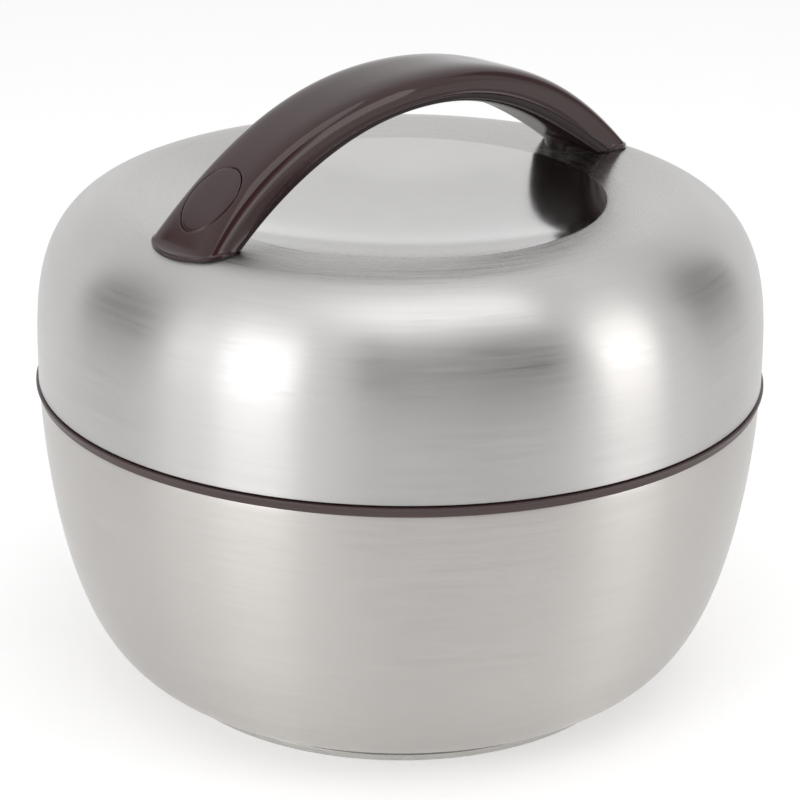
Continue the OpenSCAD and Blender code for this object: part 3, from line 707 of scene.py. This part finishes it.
def gasket_mesh(heel_steps=20, sink=0.03 * MM, lap=0.05 * MM):
    """Thin rubber sheets between the feet and the lid."""
    verts, faces = [], []
    heel = [Vector((heel_x(y), y)) for y in (SIDE.y * (1 - i / heel_steps) for i in range(1, 2 * heel_steps))]
    loop = RIM[::3] + heel
    centre = Vector((GASKET_MIDDLE_X, 0))
    loop = [centre + (p - centre) * GASKET_SHARE for p in loop]
    for flip in (1, -1):
        base = len(verts)
        count = len(loop)
        for p in loop:
            z = lid_height(p.length)
            verts.append((flip * p.x, p.y, z - sink))
            verts.append((flip * p.x, p.y, z + GASKET + lap))
        for i in range(count):
            j = (i + 1) % count
            faces.append((base + 2 * i, base + 2 * j, base + 2 * j + 1, base + 2 * i + 1))
        faces.append(tuple(base + 2 * i for i in range(count)))
        faces.append(tuple(base + 2 * i + 1 for i in range(count - 1, -1, -1)))
    return verts, faces


# Materials

class Recipe:
    """A material under construction."""

    def __init__(self, name, **constants):
        self.material = bpy.data.materials.new(name)
        self.material.use_nodes = True
        self.tree = self.material.node_tree
        self.shader = self.tree.nodes["Principled BSDF"]
        for key, value in constants.items():
            self.shader.inputs[key.replace("_", " ").title().replace("Ior", "IOR")].default_value = value
        self.spot = self.node("ShaderNodeTexCoord").outputs["Object"]

    def node(self, kind, inputs=None, **settings):
        made = self.tree.nodes.new(kind)
        for key, value in settings.items():
            setattr(made, key, value)
        for key, value in (inputs or {}).items():
            self.put(made.inputs[key], value)
        return made

    def put(self, socket, value):
        if isinstance(value, bpy.types.NodeSocket):
            self.tree.links.new(value, socket)
        else:
            socket.default_value = value

    def math(self, operation, a, b=0.0):
        return self.node("ShaderNodeMath", {0: a, 1: b}, operation=operation).outputs[0]

    def noise(self, vector, scale, detail=2.0, rough=0.5):
        links = {"Vector": vector, "Scale": scale, "Detail": detail, "Roughness": rough}
        made = self.node("ShaderNodeTexNoise", links)
        return made.outputs["Fac"]

    def ramp(self, value, low, high, to_low=0.0, to_high=1.0):
        made = self.node("ShaderNodeMapRange", {"Value": value, "From Min": low, "From Max": high,
                                                "To Min": to_low, "To Max": to_high})
        return made.outputs["Result"]

    def blend(self, share, one, two):
        made = self.node("ShaderNodeMix", data_type="RGBA")
        self.put(made.inputs["Factor"], share)
        self.put(made.inputs[6], one)
        self.put(made.inputs[7], two)
        return made.outputs[2]

    def radius(self):
        """Distance from the Z axis."""
        parts = self.node("ShaderNodeSeparateXYZ", {0: self.spot}).outputs
        squares = self.math("ADD", self.math("MULTIPLY", parts[0], parts[0]),
                            self.math("MULTIPLY", parts[1], parts[1]))
        return self.math("MAXIMUM", self.math("SQRT", squares), 0.0005)

    def rings(self):
        """Direction round the Z axis as x and y, and the run along a meridian."""
        parts = self.node("ShaderNodeSeparateXYZ", {0: self.spot}).outputs
        radius = self.radius()
        return (self.math("DIVIDE", parts[0], radius), self.math("DIVIDE", parts[1], radius),
                self.math("SUBTRACT", radius, parts[2]))

    def grain(self, around, pitch, detail=2.0):
        """Noise drawn out round the axis: around sets how short the lines are, pitch how close they lie."""
        c, s, run = self.rings()
        spots = {0: self.math("MULTIPLY", c, around), 1: self.math("MULTIPLY", s, around),
                 2: self.math("MULTIPLY", run, pitch)}
        return self.noise(self.node("ShaderNodeCombineXYZ", spots).outputs[0], 1.0, detail)

    def bump(self, height, strength, distance):
        made = self.node("ShaderNodeBump", {"Height": height, "Strength": strength, "Distance": distance})
        self.put(self.shader.inputs["Normal"], made.outputs[0])

    def colour(self, value):
        self.put(self.shader.inputs["Base Color"], value)

    def roughness(self, value):
        self.put(self.shader.inputs["Roughness"], value)


def shade(colour, factor):
    return tuple(min(1, c * factor) for c in colour[:3]) + (1,)


def brushed_steel(name, colour, rough, spread=0.1, around=7.0, pitch=4200.0, deep=0.012 * MM, aniso=0.92,
                  tone=0.05, smooth=None):
    """Steel brushed round the axis, with fine lines, broader bands and slight clouding.

    smooth gives two radii and the roughness inside the smaller one. It grows to rough at the larger one."""
    r = Recipe(name, metallic=1.0, anisotropic=aniso, anisotropic_rotation=0.25)
    fine = r.grain(around, pitch, 3.0)
    broad = r.grain(around * 0.35, pitch * 0.16, 2.0)
    cloud = r.noise(r.spot, 26.0, 3.0)
    mixed = r.math("ADD", r.math("MULTIPLY", fine, 0.62), r.math("MULTIPLY", broad, 0.38))
    lines = r.ramp(mixed, 0.34, 0.66)
    tint = r.blend(lines, shade(colour, 1 - tone), shade(colour, 1 + tone))
    r.colour(r.blend(r.ramp(cloud, 0.3, 0.7, 0.0, 0.5), tint, shade(colour, 1 - 0.6 * tone)))
    uneven = r.math("ADD", r.ramp(lines, 0, 1, -spread / 2, spread / 2),
                    r.ramp(cloud, 0.3, 0.7, -0.015, 0.02))
    level = r.ramp(r.radius(), smooth[0], smooth[1], smooth[2], rough) if smooth else rough
    r.roughness(r.math("ADD", uneven, level))
    r.bump(fine, 0.35, deep)
    tangent = r.node("ShaderNodeTangent", direction_type="RADIAL", axis="Z")
    r.put(r.shader.inputs["Tangent"], tangent.outputs[0])
    return r.material


def polished_steel(name, colour, rough):
    """Mirror-polished steel with hairline swirls and faint wiping marks."""
    r = Recipe(name, metallic=1.0)
    hair = r.grain(2.2, 5200.0, 2.0)
    smear = r.noise(r.spot, 60.0, 4.0, 0.6)
    r.colour(r.blend(r.ramp(smear, 0.3, 0.7), shade(colour, 0.97), shade(colour, 1.02)))
    r.roughness(r.math("ADD", r.ramp(hair, 0.4, 0.75, rough, rough + 0.05),
                       r.ramp(smear, 0.35, 0.75, 0, 0.03)))
    r.bump(hair, 0.12, 0.004 * MM)
    return r.material


def satin_steel(name, colour, rough=0.3):
    """Drawn sheet with a soft grain and faint cloudiness."""
    r = Recipe(name, metallic=1.0)
    fine = r.grain(16.0, 1600.0, 3.0)
    cloud = r.noise(r.spot, 40.0, 4.0)
    r.colour(r.blend(r.ramp(fine, 0.3, 0.7), shade(colour, 0.94), shade(colour, 1.04)))
    r.roughness(r.math("ADD", r.ramp(fine, 0.3, 0.7, rough - 0.06, rough + 0.06),
                       r.ramp(cloud, 0.3, 0.7, -0.03, 0.03)))
    r.bump(fine, 0.25, 0.01 * MM)
    return r.material


def moulded(name, colour, rough, peel=0.25, grain=0.0, spread=0.03, gloss=0.5):
    """Moulded plastic: slight waviness, fine specks and a little unevenness in its gloss."""
    r = Recipe(name, ior=1.5)
    r.shader.inputs["Specular IOR Level"].default_value = gloss
    wave = r.noise(r.spot, 220.0, 2.0)
    speck = r.noise(r.spot, 2600.0, 2.0)
    cloud = r.noise(r.spot, 45.0, 4.0, 0.6)
    r.colour(r.blend(r.ramp(cloud, 0.3, 0.7), shade(colour, 0.93), shade(colour, 1.08)))
    r.roughness(r.math("ADD", r.ramp(cloud, 0.3, 0.75, rough - spread / 2, rough + spread / 2),
                       r.ramp(speck, 0.4, 0.8, 0, spread)))
    height = r.math("ADD", r.math("MULTIPLY", wave, 0.8), r.math("MULTIPLY", speck, 0.05 + grain))
    r.bump(height, peel, 0.03 * MM)
    return r.material


def foamed(name, colour):
    r = Recipe(name, roughness=0.9)
    cells = r.node("ShaderNodeTexVoronoi", {"Vector": r.spot, "Scale": 900.0})
    big = r.noise(r.spot, 120.0, 3.0)
    r.colour(r.blend(r.ramp(cells.outputs["Distance"], 0.1, 0.7), shade(colour, 0.8), shade(colour, 1.05)))
    r.bump(r.math("ADD", cells.outputs["Distance"], big), 0.7, 0.4 * MM)
    return r.material


def rubbery(name, colour, rough=0.6):
    r = Recipe(name, roughness=rough)
    fine = r.noise(r.spot, 1800.0, 3.0)
    cloud = r.noise(r.spot, 90.0, 3.0)
    r.colour(r.blend(r.ramp(cloud, 0.3, 0.7), shade(colour, 0.9), shade(colour, 1.1)))
    r.roughness(r.ramp(fine, 0.3, 0.7, rough - 0.08, rough + 0.08))
    r.bump(fine, 0.3, 0.03 * MM)
    return r.material


LID_STEEL = brushed_steel("lid_brushed_steel", (0.54, 0.532, 0.525), 0.36, smooth=(64 * MM, 80 * MM, 0.27))
DISH_STEEL = polished_steel("dish_polished_steel", (0.60, 0.592, 0.588), 0.1)
BODY_STEEL = brushed_steel("body_brushed_steel", (0.535, 0.515, 0.495), 0.35, pitch=5200.0)
BASE_STEEL = satin_steel("base_satin_steel", (0.56, 0.55, 0.53))
LINER_STEEL = satin_steel("liner_satin_steel", (0.66, 0.66, 0.65), 0.27)
WARE_STEEL = satin_steel("ware_satin_steel", (0.68, 0.68, 0.67), 0.22)
FASTENER_STEEL = satin_steel("fastener_steel_finish", (0.52, 0.52, 0.52), 0.35)
HANDLE_BROWN = moulded("handle_gloss_brown", (0.044, 0.0195, 0.0205), 0.05, peel=0.08, gloss=0.36)
# Darker copy of the handle brown for the underside: the lower level is painted shade for the shade under the
# handle
SHADED_COVER_BROWN = moulded("cover_brown_painted_shade", (0.024, 0.0125, 0.0125), 0.2, peel=0.1, gloss=0.25)
BUTTON_BROWN = moulded("button_gloss_brown", (0.042, 0.0185, 0.0195), 0.08, peel=0.08, gloss=0.4)
COLLAR_BROWN = moulded("collar_satin_brown", (0.06, 0.035, 0.034), 0.36, grain=0.1)
WARE_PLASTIC = moulded("ware_off_white", (0.76, 0.735, 0.68), 0.42, grain=0.15)
GUIDE_PLASTIC = moulded("guide_natural", (0.72, 0.71, 0.68), 0.45, grain=0.15)
FOAM = foamed("insulation_foam", (0.82, 0.74, 0.48))
SILICONE = rubbery("clear_silicone", (0.74, 0.74, 0.71), 0.5)
GASKET_RUBBER = rubbery("black_rubber", (0.02, 0.018, 0.018))


# Outside of the body

skin = body_curve(0)
foot_r, skin_z = skin[-1]
body_loop = filleted([(BODY_R - SHEET, BODY_TOP)] + skin, [0, 0.2 * MM] + [0] * (len(skin) - 1), 3)
body_loop += [(foot_r * 0.6, skin_z), (0, skin_z), (0, skin_z + SHEET)]
body_loop += list(reversed(body_curve(SHEET)))[:-1]
turned("body_skin", body_loop, BODY_STEEL, "body", ["body_shell"])

ring_loop = cornered([
    (foot_r, FOOT_H + LAP, 0),
    (foot_r, GROOVE_Z + GROOVE_H, 0.12 * MM),
    (foot_r - GROOVE_DEPTH, GROOVE_Z + 0.2 * MM, 0.1 * MM),
    (foot_r, GROOVE_Z, 0.12 * MM),
    (foot_r, 0, FOOT_ROUND),
    (foot_r - FOOT_W, 0, FOOT_ROUND),
    (foot_r - FOOT_W, FOOT_H - SHEET, 0.8 * MM),
    (PAN_R, FOOT_H - SHEET, PAN_ROUND),
    (PAN_IN_R, FOOT_H - 2 * SHEET, PAN_ROUND),
    (0, FOOT_H - 2 * SHEET, 0),
    (0, FOOT_H + LAP, 0)])
turned("foot_ring", ring_loop, BASE_STEEL, "body", ["base_plate"])

collar_loop = cornered([
    (NECK_IN_R, NECK_LOW, 0.3 * MM),
    (NECK_R, NECK_LOW, 0.3 * MM),
    (NECK_R, BODY_TOP, 0),
    (SKIRT_IN_R, BODY_TOP, 0),
    (SKIRT_IN_R, SKIRT_LOW, 0.3 * MM),
    (SKIRT_R, SKIRT_LOW, 0.3 * MM),
    (SKIRT_R, BODY_TOP, 0),
    (BAND_R, BODY_TOP, 0.2 * MM),
    (BAND_R, LIP_Z, 0.2 * MM),
    (COLLAR_R, LIP_Z, 0.25 * MM),
    (COLLAR_R, BODY_TOP + COLLAR_H, 0.25 * MM),
    (NECK_R, BODY_TOP + COLLAR_H, 0.5 * MM),
    (NECK_R, NECK_TOP, 0.5 * MM),
    (NECK_IN_R, NECK_TOP, 0.3 * MM)], 6)
lugs = [sector(NECK_R - LUG_SINK, LUG_R, LUG_TOP - LUG_H, LUG_TOP, THIRD * i, LUG_SPAN) for i in range(3)]
lugs += [sector(NECK_R - LUG_SINK, LUG_R, STOP_LOW, STOP_TOP, THIRD * i + STOP_TURN, STOP_SPAN)
         for i in range(3)]
turned("collar_ring", collar_loop, COLLAR_BROWN, "body", ["collar"], extra=lugs)

# Inside of the body
liner_loop = cup(MOUTH_R, LINER_TOP, LINER_Z, LINER_ROUND, 24)
liner_loop += list(reversed(cup(MOUTH_R + LINER, NECK_TOP, LINER_Z - LINER, LINER_ROUND + LINER, 24)))
liner_loop += [(NECK_R - 0.3 * MM, NECK_TOP), (NECK_R - 0.05 * MM, NECK_TOP + LINER / 2),
               (NECK_R - 0.3 * MM, LINER_TOP)]
liner_loop = filleted(liner_loop, [0.45 * MM] + [0] * (len(liner_loop) - 1), 5)
turned("pot_liner", liner_loop, LINER_STEEL, "body", ["body_liner"])

# CAD nodes that are shown as they are
for finish, kept in (
        (FOAM, ("body_insulation", "lid_insulation")),
        (FASTENER_STEEL, ("backing_plates", "handle_screws", "vent_spring")),
        (GUIDE_PLASTIC, ("vent_guide", "vent_stem")),
        (SILICONE, ("vent_valve", "bowl_lid_seal"))):
    for node in kept:
        data = NODES[node].data
        data.materials.clear()
        data.materials.append(finish)

# Inner bowl with its lid
bowl_loop = [(BOWL_R + 0.9 * MM, BOWL_TOP - 1.3 * MM), (BOWL_R, BOWL_TOP - 1.65 * MM)]
bowl_loop += cup(BOWL_R, BOWL_TOP - 1.9 * MM, BOWL_Z, BOWL_ROUND, 24)
bowl_loop += list(reversed(cup(BOWL_R - WARE, BOWL_TOP - WARE / 2, BOWL_Z + WARE, BOWL_ROUND - WARE, 24)))
bowl_loop += [(BOWL_R - WARE + 0.2 * MM, BOWL_TOP - 0.05 * MM), (BOWL_R + 0.2 * MM, BOWL_TOP),
              (BOWL_R + 0.8 * MM, BOWL_TOP - 0.4 * MM)]
turned("bowl_sheet", bowl_loop, WARE_STEEL, "bowl", ["inner_bowl"])

cover_loop = cornered([
    (0, COVER_Z, 0),
    (PLUG_R - PLUG_W, COVER_Z, 1 * MM),
    (PLUG_R - PLUG_W, PLUG_LOW, 0.5 * MM),
    (PLUG_R, PLUG_LOW, 0.5 * MM),
    (PLUG_R, SEAT_LOW, 0.1 * MM),
    (SEAT_IN_R, SEAT_LOW, 0.1 * MM),
    (SEAT_IN_R, SEAT_HIGH, 0.1 * MM),
    (PLUG_R, SEAT_HIGH, 0.1 * MM),
    (PLUG_R, COVER_Z, 0.2 * MM),
    (BOWL_R, COVER_Z, 0.3 * MM),
    (BOWL_R, COVER_Z + COVER_RIM_H, 0.8 * MM),
    (BOWL_R - COVER_RIM_W, COVER_Z + COVER_RIM_H, 0.4 * MM),
    (BOWL_R - COVER_RIM_W - 1 * MM, COVER_Z + COVER_T, 0.5 * MM),
    (0, COVER_Z + COVER_T, 0)])


def grip_bar(edge=1 * MM, count=24):
    """Stadium-shaped grip bar with a rounded top and a slight foot."""
    levels = [(0.8 * MM, GRIP_LOW), (0.5 * MM, GRIP_LOW + 0.35 * MM), (0, GRIP_LOW + 0.9 * MM),
              (0, GRIP_TOP - edge)]
    for k in range(1, 6):
        a = math.pi / 2 * k / 5
        levels.append((-edge * (1 - math.cos(a)), GRIP_TOP - edge * (1 - math.sin(a))))
    verts = []
    for swell, z in levels:
        r = GRIP_W / 2 + swell
        for side in (1, -1):
            for i in range(count + 1):
                a = math.pi * (i / count - 0.5)
                x = (GRIP_L - GRIP_W) / 2 + r * math.cos(a)
                verts.append((side * x, side * r * math.sin(a), z))
    return verts, closed_tube(len(levels), 2 * (count + 1))


turned("bowl_cover", cover_loop, WARE_PLASTIC, "bowl_cover", ["bowl_lid"], extra=[grip_bar()])

# Tray with its divider
bead = TRAY_RIM_W - 0.15 * MM
tray_loop = [(TRAY_R + bead, TRAY_TOP + WARE), (TRAY_R + TRAY_RIM_W, TRAY_TOP + WARE / 2),
             (TRAY_R + bead, TRAY_TOP), (TRAY_R + 0.5 * MM, TRAY_TOP)]
tray_loop += cup(TRAY_R, TRAY_TOP - 0.5 * MM, TRAY_Z, TRAY_ROUND, 20)
tray_loop += list(reversed(cup(TRAY_R - WARE, TRAY_TOP - WARE / 2, TRAY_Z + WARE, TRAY_ROUND - WARE, 20)))
tray_loop += [(TRAY_R - WARE * 0.7, TRAY_TOP + WARE * 0.6), (TRAY_R, TRAY_TOP + WARE)]
turned("tray_sheet", tray_loop, WARE_STEEL, "tray", ["food_tray"])


def pulled(value, pull):
    """How far a place shrinks toward zero when pull is taken from its size, as a factor."""
    return (abs(value) - pull) / abs(value) if abs(value) > pull else 1


def divider_mesh(edge=0.5 * MM, corner=0.8 * MM):
    """A flat wall that follows the inside of the tray, with a thick rounded upper edge."""
    inset = WARE + DIVIDER_GAP
    outline = cup(TRAY_R - inset, DIVIDER_TOP - corner, TRAY_Z + inset, TRAY_ROUND - inset, 16)
    right = [Vector(p) for p in outline[:-1]]
    ring = right + [Vector((-p.x, p.y)) for p in reversed(right)]
    top_x = TRAY_R - inset - corner
    ring += [Vector((-top_x, DIVIDER_TOP)), Vector((top_x, DIVIDER_TOP))]
    rounds = [0] * (len(ring) - 2) + [edge] * 2
    ring = [Vector(p) for p in filleted([tuple(p) for p in ring], rounds, 4)]
    middle = (DIVIDER_TOP + TRAY_Z) / 2
    half_t = DIVIDER_T / 2
    layers = [(-half_t, edge), (-half_t + edge * 0.3, edge * 0.3), (-half_t + edge, 0),
              (half_t - edge, 0), (half_t - edge * 0.3, edge * 0.3), (half_t, edge)]
    verts = []
    for y, pull in layers:
        for p in ring:
            rise = p.y - middle
            verts.append((p.x * pulled(p.x, pull), y, middle + rise * pulled(rise, pull)))
    return verts, closed_tube(len(layers), len(ring))


verts, faces = divider_mesh()
piece_from("tray_wall", verts, faces, [WARE_PLASTIC], "divider", ["tray_divider"])

# Lid: brushed dome with a polished dish
shell = lid_side(0) + lid_top(0)
dish = dish_curve(0)
outer = filleted(shell[-3:] + dish[:3], [0, 0, 0.5 * MM, 0, 0, 0], 6, closed=False)
under = lid_side(SHEET) + lid_top(SHEET) + dish_curve(SHEET)
hem_z, edge_z = RIM_Z - 0.02 * MM, RIM_Z + 0.15 * MM
lid_loop = [(LID_R, edge_z)] + shell[1:-3] + outer + dish[3:] + list(reversed(under[1:]))
lid_loop += [(LID_R - SHEET, edge_z), (LID_R - SHEET * 0.75, hem_z), (LID_R - SHEET * 0.25, hem_z)]
verts, faces = revolve(lid_loop, 320)


def in_dish(face):
    spots = [verts[i] for i in face]
    return (max(math.hypot(x, y) for x, y, _ in spots) < DISH_R + 0.1 * MM
            and min(z for _, _, z in spots) > DISH_EDGE_Z - DISH_DEPTH - SHEET / 2)


marks = [1 if in_dish(face) else 0 for face in faces]
piece_from("lid_dome", verts, faces, [LID_STEEL, DISH_STEEL], "lid", ["lid_shell"], marks=marks)


# Inside of the lid

def up_cup(r, top, round_r):
    return [(x, top - z) for x, z in cup(r, 0, 0, round_r, 18)[1:]]


lid_liner_loop = [(CEILING_R, FLANGE_Z - LINER)] + up_cup(CEILING_R, CEILING_Z, CEILING_ROUND)
lid_liner_loop += list(reversed(up_cup(CEILING_R + LINER, CEILING_Z + LINER, CEILING_ROUND + LINER)))
lid_liner_loop += [(CEILING_R + LINER, FLANGE_Z), (FLANGE_R, FLANGE_Z), (FLANGE_R, FLANGE_Z - LINER)]
turned("lid_ceiling", lid_liner_loop, LINER_STEEL, "lid", ["lid_liner"])

lid_ring_loop = cornered([
    (RING_IN_R, RING_LOW, 0.7 * MM),
    (RING_R, RING_LOW, 0.7 * MM),
    (RING_R, RING_TOP, 0.4 * MM),
    (RING_TOP_IN_R, RING_TOP, 0.4 * MM),
    (RING_TOP_IN_R, FLANGE_Z, 0.1 * MM),
    (RING_IN_R, FLANGE_Z, 0.3 * MM)])
lugs = [sector(LID_LUG_R, RING_IN_R + LUG_SINK, LID_LUG_TOP - LUG_H, LID_LUG_TOP, THIRD * i + LID_LUG_TURN,
               LID_LUG_SPAN) for i in range(3)]
turned("lid_lug_ring", lid_ring_loop, COLLAR_BROWN, "lid", ["lid_ring"], extra=lugs)

seal_loop = filleted([
    (SEAL_IN_R, SEAL_Z + SEAL_H), (SEAL_IN_R, SEAL_Z + SEAL_TAPER), (SEAL_IN_R + SEAL_TAPER, SEAL_Z),
    (SEAL_R - SEAL_TAPER, SEAL_Z), (SEAL_R, SEAL_Z + SEAL_TAPER), (SEAL_R, SEAL_Z + SEAL_H)], 0.3 * MM, 4)
turned("lid_gasket", seal_loop, SILICONE, "seal", ["lid_seal"])

# Handle
verts, faces = crown_mesh()
piece_from("handle_back", verts, faces, [HANDLE_BROWN], "lid", ["handle_shell"], sharp=50)
verts, faces = grid_faces(keel_rows())
piece_from("handle_underside", verts, faces, [SHADED_COVER_BROWN], "lid", ["handle_cover"], sharp=50)
verts, faces = gasket_mesh()
piece_from("foot_gasket_pair", verts, faces, [GASKET_RUBBER], "lid", ["foot_gaskets"])
verts, faces = button_mesh()
piece_from("vent_oval", verts, faces, [BUTTON_BROWN], "vent", ["vent_button"], sharp=60)


# Studio

def seen_share(tree):
    """1 for rays from the camera, a gloss or a transmission, else 0."""
    rays = tree.nodes.new("ShaderNodeLightPath").outputs
    share = rays["Is Camera Ray"]
    for kind in ("Is Glossy Ray", "Is Transmission Ray"):
        most = tree.nodes.new("ShaderNodeMath")
        most.operation = "MAXIMUM"
        tree.links.new(share, most.inputs[0])
        tree.links.new(rays[kind], most.inputs[1])
        share = most.outputs[0]
    return share


FLOOR_REACH = 4.0
FLOOR_GLOW = 0.38
floor = Recipe("studio_floor")
floor_grain = floor.noise(floor.spot, 30.0, 2.0)
floor.colour(floor.blend(floor_grain, (0.9, 0.9, 0.9, 1), (0.92, 0.92, 0.92, 1)))
floor.roughness(0.9)
floor.shader.inputs["Specular IOR Level"].default_value = 0.0
floor.shader.inputs["Emission Color"].default_value = (1, 1, 1, 1)
glow = floor.math("MULTIPLY", seen_share(floor.tree), FLOOR_GLOW)
floor.put(floor.shader.inputs["Emission Strength"], glow)
corners = [(x * FLOOR_REACH, y * FLOOR_REACH, 0) for x, y in ((-1, -1), (1, -1), (1, 1), (-1, 1))]
ground = placed("studio_ground", mesh_from("studio_ground", corners, [(0, 1, 2, 3)], [floor.material]))

WORLD_LIGHT = 0.5
world = bpy.data.worlds.new("studio_world")
bpy.context.scene.world = world
world.use_nodes = True
tree = world.node_tree
tree.nodes.clear()
kinds = "Background", "Background", "MixShader"
seen, unseen, mix = (tree.nodes.new("ShaderNode" + kind) for kind in kinds)
for node, strength in ((seen, 1.0), (unseen, WORLD_LIGHT)):
    node.inputs["Color"].default_value = (1, 1, 1, 1)
    node.inputs["Strength"].default_value = strength
tree.links.new(seen_share(tree), mix.inputs[0])
tree.links.new(unseen.outputs[0], mix.inputs[1])
tree.links.new(seen.outputs[0], mix.inputs[2])
tree.links.new(mix.outputs[0], tree.nodes.new("ShaderNodeOutputWorld").inputs[0])


# Camera frame

AZIMUTH = math.radians(-43.8)
ELEVATION = math.radians(21.2187)
ROLL = math.radians(0.6086)
TARGET = Vector((0, 0, 69.9 * MM))
DISTANCE = 0.72
LIGHT_AIM = Vector((0, 0, 0.08))
ahead = Vector((-math.sin(AZIMUTH), math.cos(AZIMUTH), 0))
side = Vector((math.cos(AZIMUTH), math.sin(AZIMUTH), 0))
back = Vector((0, 0, math.sin(ELEVATION))) - ahead * math.cos(ELEVATION)
rise = back.cross(side)


def from_camera(right, up, away):
    """A place given from the box as the camera sees it: to the right, up and away from the camera."""
    return side * right + Vector((0, 0, up)) + ahead * away


# Lamps and reflection cards

def softbox(name, place, wide, high, watts, colour=(1, 1, 1)):
    lamp = bpy.data.lights.new(name, "AREA")
    lamp.shape = "RECTANGLE"
    lamp.size, lamp.size_y = wide, high
    lamp.energy = watts
    lamp.color = colour
    made = placed(name, lamp)
    made.location = place
    made.rotation_euler = (LIGHT_AIM - place).to_track_quat("-Z", "Y").to_euler()


softbox("overhead", from_camera(0.13, 1.15, -0.24), 0.84, 0.84, 3.2)
softbox("left_core", from_camera(-0.78, 0.30, -0.86), 0.48, 1.0, 3.6)
softbox("left_wide", from_camera(-1.05, 0.30, -0.52), 0.4, 1.0, 1.0)
softbox("right_strip", from_camera(1.1, 0.30, -0.36), 0.42, 1.0, 2.6, (1, 0.975, 0.94))


def card(name, turn_low, turn_high, rise_low, rise_high, level, radius=1.7, fade=0.25):
    """A curved card round the box, which only gloss sees.

    Turns are in degrees to the right of straight behind, rises in degrees above level."""
    wide, tall = 28, 14
    verts, soft = [], []
    for j in range(tall + 1):
        for i in range(wide + 1):
            x, y = i / wide, j / tall
            a = math.radians(turn_low + (turn_high - turn_low) * x)
            b = math.radians(rise_low + (rise_high - rise_low) * y)
            flat, up = radius * math.cos(b), LIGHT_AIM.z + radius * math.sin(b)
            verts.append(from_camera(flat * math.sin(a), up, flat * math.cos(a)))
            soft.append(ease(min(1, x / fade, (1 - x) / fade) * min(1, y / fade, (1 - y) / fade)))
    row = wide + 1
    faces = [(j * row + i, j * row + i + 1, (j + 1) * row + i + 1, (j + 1) * row + i)
             for j in range(tall) for i in range(wide)]
    material = bpy.data.materials.new(name)
    material.use_nodes = True
    nodes, links = material.node_tree.nodes, material.node_tree.links
    nodes.clear()
    share = nodes.new("ShaderNodeAttribute")
    share.attribute_name = "soft"
    glow, clear, mix, end = (nodes.new(kind) for kind in (
        "ShaderNodeEmission", "ShaderNodeBsdfTransparent", "ShaderNodeMixShader", "ShaderNodeOutputMaterial"))
    glow.inputs["Color"].default_value = (level, level, level, 1)
    links.new(share.outputs["Fac"], mix.inputs[0])
    links.new(clear.outputs[0], mix.inputs[1])
    links.new(glow.outputs[0], mix.inputs[2])
    links.new(mix.outputs[0], end.inputs[0])
    mesh = mesh_from(name, verts, faces, [material])
    mesh.attributes.new("soft", "FLOAT", "POINT").data.foreach_set("value", soft)
    made = placed(name, mesh)
    made.visible_camera = made.visible_diffuse = made.visible_shadow = False


card("front_card", 120, 200, -3, 58, 0.1, fade=0.14)
card("front_dark", 126, 162, -3, 58, 0.0, radius=1.68, fade=0.2)
card("right_card", 42, 84, -4, 42, 0.25)
card("left_card", -104, -58, -4, 42, 0.25)
card("back_card", -60, 60, 6, 44, 0.9, radius=1.75)

# Camera
camera_data = bpy.data.cameras.new("photo_camera")
camera_data.lens = 129.02
camera_data.sensor_width = 36
camera_data.shift_x = 0.0005
camera = placed("photo_camera", camera_data)
right = side * math.cos(ROLL) + rise * math.sin(ROLL)
up = rise * math.cos(ROLL) - side * math.sin(ROLL)
place = TARGET + back * DISTANCE
camera.matrix_world = Matrix((
    (right.x, up.x, back.x, place.x), (right.y, up.y, back.y, place.y),
    (right.z, up.z, back.z, place.z), (0, 0, 0, 1)))
bpy.context.scene.camera = camera
bpy.context.scene.view_settings.view_transform = "Standard"
